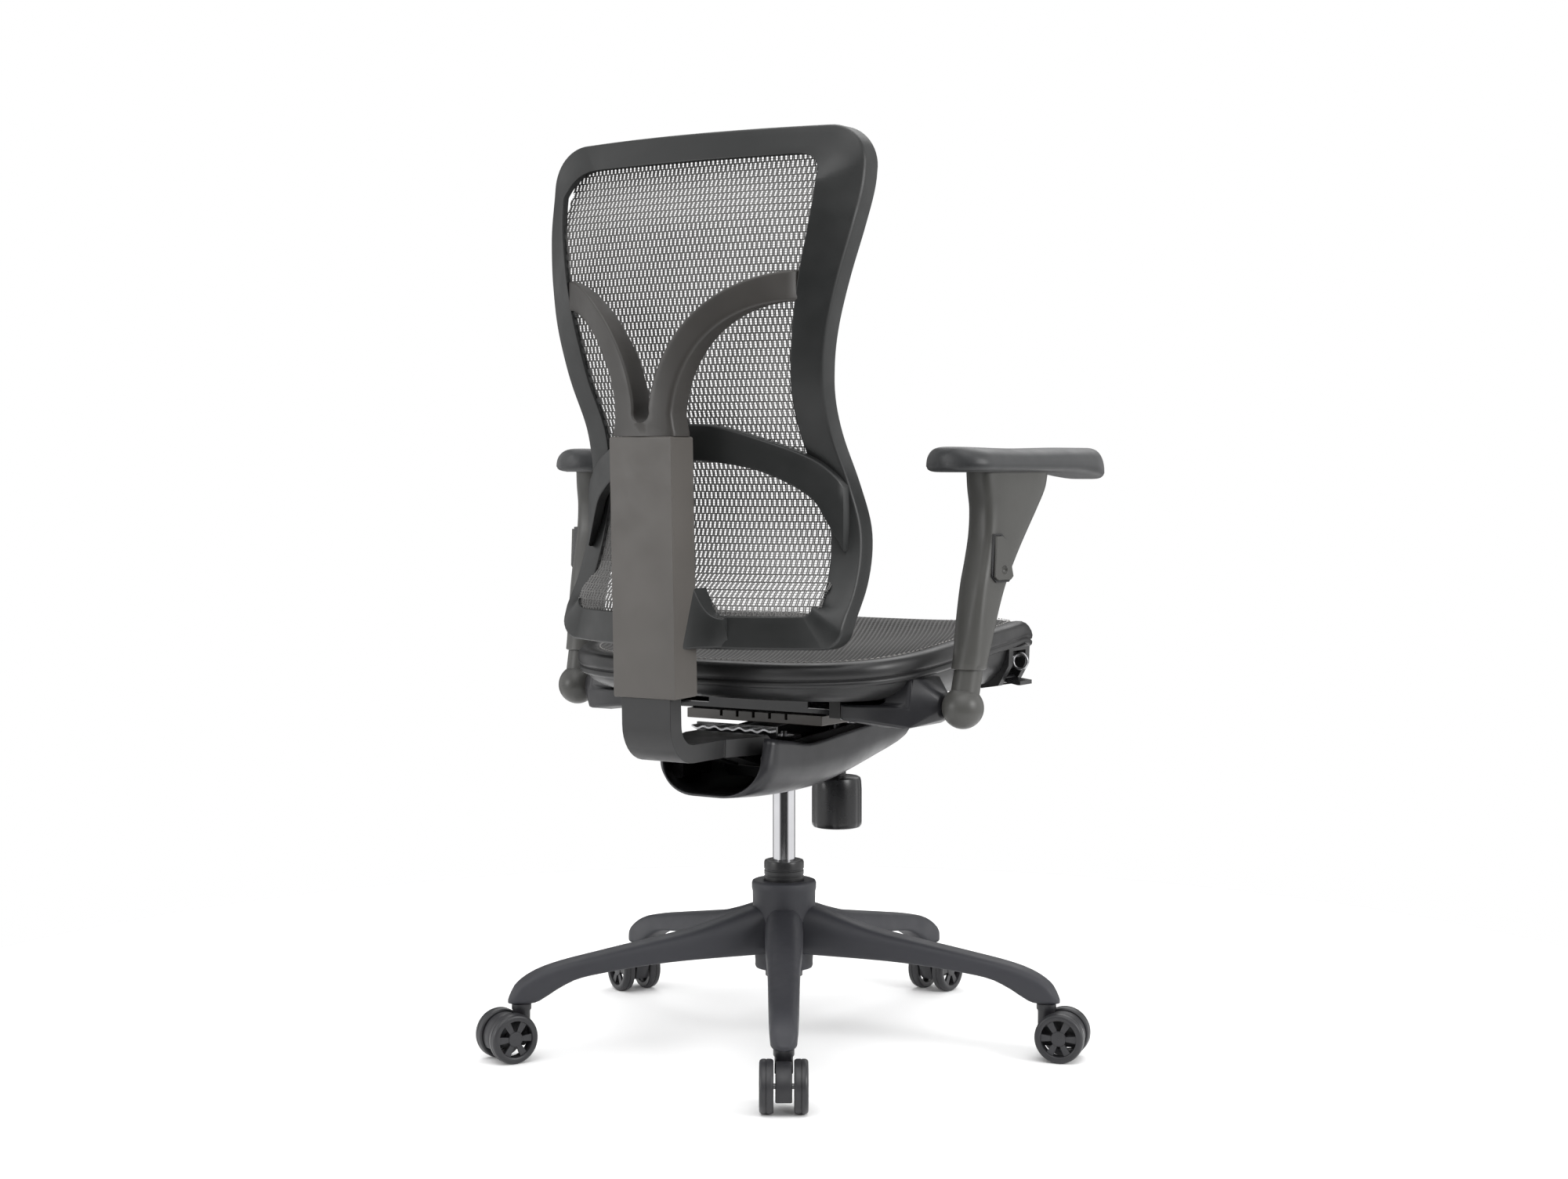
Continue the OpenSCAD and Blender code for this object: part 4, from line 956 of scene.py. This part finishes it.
# Height over the ball, forward place, half depth and half width of the sleeve.
SLEEVE = [(46, 11.5, 20.5, 20.5), (80, 20, 21.5, 21), (112, 28, 23, 21), (145, 38.5, 26, 21),
          (175, 52, 31.5, 21), (205, 66, 39, 21.5), (235, 78, 50, 22), (258, 84, 60, 22.5),
          (278, 86, 64, 22.5)]
BUTTON_Z, BUTTON_S = 176, 47


def arm_place(shape, side):
    """Places a shape drawn for the sitter's left with -Y forward and +X outward from the ball."""
    at = Matrix.Translation((ARM_X, ARM_Y, BALL_Z)) @ Matrix.Rotation(math.radians(ARM_TOE), 4, "Z")
    placed = moved(shape, at)
    return placed if side == "left" else mirrored(placed)


def sleeve():
    """The arm's sleeve: round at the stem, squarer and much deeper under the pad."""
    sections = []
    columns = list(zip(*SLEEVE))
    tables = [list(zip(columns[0], c)) for c in columns[1:]]
    foot_z, foot_forward = SLEEVE[0][:2]
    for z in steps(foot_z, SLEEVE[-1][0], 42):
        forward, depth, width = (smooth(t, z) for t in tables)
        p = 2.1 + 1.9 * min(1, max(0, (z - 60) / 90))
        ring = []
        for i in range(48):
            c, s = squircle(2 * math.pi * i / 48, p)
            ring.append((width * c, -forward + depth * s, z))
        sections.append(ring)
    lip = [(x * 0.94, (y + foot_forward) * 0.94 - foot_forward, z - 1) for x, y, z in sections[0]]
    return skin([lip] + sections)


def button_outline(grow):
    """The button's outline (Y, Z) on the sleeve's outer side, grown outward."""
    return [(-BUTTON_S + 4 - grow, BUTTON_Z + 26 + grow), (-BUTTON_S + 14, BUTTON_Z + 26 + grow),
            (-BUTTON_S + 17 + grow, BUTTON_Z - 22), (-BUTTON_S + 12, BUTTON_Z - 26 - grow),
            (-BUTTON_S - 12, BUTTON_Z - 26 - grow), (-BUTTON_S - 17 - grow, BUTTON_Z - 22),
            (-BUTTON_S - 6 - grow, BUTTON_Z + 20)]


def button_shadow_ring():
    """A dark flat ring round the button, standing a little over the sleeve: painted shadow for the gap round
    the button.
    """
    low, high = 18, 22.9
    edges = zip(button_outline(0.7), button_outline(2.8))
    return skin([[(low, *inner), (low, *outer), (high, *outer), (high, *inner)]
                 for inner, outer in edges], cyclic=True)


def arm_pad():
    """The pad: a soft bar with round ends, a hollow in its top and a front end that droops."""
    sections = []
    for f in steps(0, 1, 60):
        y = PAD_REAR + (PAD_FRONT - PAD_REAR) * f
        from_end = min(y - PAD_FRONT, PAD_REAR - y)
        pinch = math.sqrt(max(0, 1 - (1 - min(from_end, PAD_END_R) / PAD_END_R) ** 2))
        half = (PAD_WIDTH / 2) * (0.16 + 0.84 * pinch)
        droop = 11 * max(0, (f - 0.72) / 0.28) ** 1.4
        hollow = 1.6 * math.sin(math.pi * min(1, f / 0.8)) ** 2
        edge = min(1, from_end / 14)
        soft = math.sqrt(max(0.02, 1 - (1 - edge) ** 2))
        top = PAD_TOP - BALL_Z - hollow - 9 * (1 - soft)
        under = PAD_UNDER - BALL_Z - droop + 6 * (1 - soft)
        seam = under + 7
        ring = []
        for i in range(48):
            a = 2 * math.pi * i / 48
            rise = power(math.sin(a), 2 / 2.3)
            if rise >= 0:
                z = seam + (top - seam) * rise
                x = half * power(math.cos(a), 2 / 3.4)
            else:
                z = seam + (seam - under) * rise
                x = (half - 0.8) * power(math.cos(a), 2 / 5.0)
            ring.append((x - PAD_INWARD, y, z))
        sections.append(ring)
    return skin(sections)


for side in ("left", "right"):
    body = f"{side}_arm"
    piece(f"{side}_sleeve", arm_place(sleeve(), side), MATERIALS["arm_grey"], body,
          [f"{side}_arm_sleeve"], angle=55)
    pad = piece(f"{side}_pad", arm_place(arm_pad(), side), MATERIALS["pad_soft"], body,
                [f"{side}_arm_pad"], angle=70)
    # The button's dark ring is painted shadow for the gap round the button.
    shadow_ring = arm_place(button_shadow_ring(), side)
    piece(f"{side}_button_shadow_ring", shadow_ring, MATERIALS["knob_black"], body, bevel=0.4)
    dress(f"{side}_arm_button", MATERIALS["arm_grey"], 1.5)
    dress(f"{side}_pad_plate", MATERIALS["bush_black"], 1.0)
    dress(f"{side}_arm_bracket", MATERIALS["cover_black"], 4.0)
    dress(f"{side}_arm_stem", MATERIALS["arm_grey"])

# ------------------------------------------------------------------ stage

CAMERA_TURN, CAMERA_REACH, CAMERA_Z = 212.84, 3.051, 0.72
FOCAL_PX, IMAGE_W, IMAGE_H, HORIZON_PX = 3088, 2001, 1505, 596
SENSOR_MM = 36
FLOOR_R = 1.3
# Brightness of the studio overhead and below, and of its side walls.
STUDIO_LOW, STUDIO_HIGH, STUDIO_SIDES = 0.05, 0.38, 1.1


def look_along(obj, direction):
    obj.rotation_mode = "QUATERNION"
    obj.rotation_quaternion = Vector(direction).to_track_quat("-Z", "Y")


def add_camera():
    data = bpy.data.cameras.new("camera")
    data.sensor_width = SENSOR_MM
    data.lens = SENSOR_MM * FOCAL_PX / IMAGE_W
    data.shift_y = (HORIZON_PX - IMAGE_H / 2) / IMAGE_W
    camera = bpy.data.objects.new("camera", data)
    bpy.context.scene.collection.objects.link(camera)
    turn = math.radians(CAMERA_TURN)
    back = Vector((math.sin(turn), -math.cos(turn), 0))
    camera.location = back * CAMERA_REACH + Vector((0, 0, CAMERA_Z))
    look_along(camera, -back)
    bpy.context.scene.camera = camera


def add_area(name, at, target, size, power_w):
    data = bpy.data.lights.new(name, "AREA")
    data.shape = "DISK"
    data.size = size
    data.energy = power_w
    light = bpy.data.objects.new(name, data)
    bpy.context.scene.collection.objects.link(light)
    light.location = at
    look_along(light, Vector(target) - Vector(at))


def add_sun(name, direction, strength, angle):
    data = bpy.data.lights.new(name, "SUN")
    data.energy = strength
    data.angle = math.radians(angle)
    light = bpy.data.objects.new(name, data)
    bpy.context.scene.collection.objects.link(light)
    look_along(light, direction)


def add_floor():
    mesh = bpy.data.meshes.new("floor")
    bm = bmesh.new()
    bmesh.ops.create_circle(bm, cap_ends=True, radius=FLOOR_R, segments=96)
    bm.to_mesh(mesh)
    bm.free()
    floor = bpy.data.objects.new("floor", mesh)
    bpy.context.scene.collection.objects.link(floor)
    r = Recipe("floor_white", 0.9, specular=0.0)
    r.link(r.mix(r.noise(3, 2), (0.96, 0.96, 0.96), (0.98, 0.98, 0.98)), r.shader.inputs["Base Color"])
    mesh.materials.append(r.material)


def soft_range(tree, value, limits):
    """A node that carries a value from one span to another with a soft passage."""
    node = tree.nodes.new("ShaderNodeMapRange")
    node.interpolation_type = "SMOOTHSTEP"
    for name, limit in zip(("From Min", "From Max", "To Min", "To Max"), limits):
        node.inputs[name].default_value = limit
    tree.links.new(value, node.inputs["Value"])
    return node.outputs["Result"]


def add_world():
    """White behind the object; round it, a dim studio with bright side walls and a bright ceiling."""
    world = bpy.data.worlds.new("world")
    world.use_nodes = True
    tree = world.node_tree
    background = tree.nodes["Background"]
    axes = tree.nodes.new("ShaderNodeSeparateXYZ")
    where = tree.nodes.new("ShaderNodeTexCoord").outputs["Generated"]
    tree.links.new(where, axes.inputs["Vector"])
    glow = soft_range(tree, axes.outputs["Z"], (-0.1, 0.9, STUDIO_LOW, STUDIO_HIGH))
    aside = tree.nodes.new("ShaderNodeVectorMath")
    aside.operation = "DOT_PRODUCT"
    turn = math.radians(CAMERA_TURN)
    aside.inputs[1].default_value = (math.cos(turn), math.sin(turn), 0)
    tree.links.new(where, aside.inputs[0])
    size = tree.nodes.new("ShaderNodeMath")
    size.operation = "ABSOLUTE"
    tree.links.new(aside.outputs["Value"], size.inputs[0])
    walls = soft_range(tree, size.outputs[0], (0.5, 0.85, 0, STUDIO_SIDES))
    both = tree.nodes.new("ShaderNodeMath")
    tree.links.new(glow, both.inputs[0])
    tree.links.new(walls, both.inputs[1])
    seen = tree.nodes.new("ShaderNodeMix")
    path = tree.nodes.new("ShaderNodeLightPath")
    tree.links.new(path.outputs["Is Camera Ray"], seen.inputs["Factor"])
    tree.links.new(both.outputs[0], seen.inputs["A"])
    seen.inputs["B"].default_value = 1.0
    background.inputs["Color"].default_value = (1, 1, 1, 1)
    tree.links.new(seen.outputs["Result"], background.inputs["Strength"])
    bpy.context.scene.world = world


add_camera()
add_floor()
add_world()
add_sun("sun_top", (0.05, -0.1, -1), 1.5, 70)
add_sun("sun_rear", (0.35, -0.75, -0.9), 1.0, 50)
add_sun("sun_front", (-0.3, 0.8, -0.9), 1.0, 50)
add_area("key_right", (-3.4, 0.2, 1.7), (0, 0, 0.6), 1.5, 60)
add_area("strip_rear", (1.9, 3.0, 1.1), (0, 0.1, 0.7), 1.2, 26)
bpy.context.scene.view_settings.view_transform = "Standard"
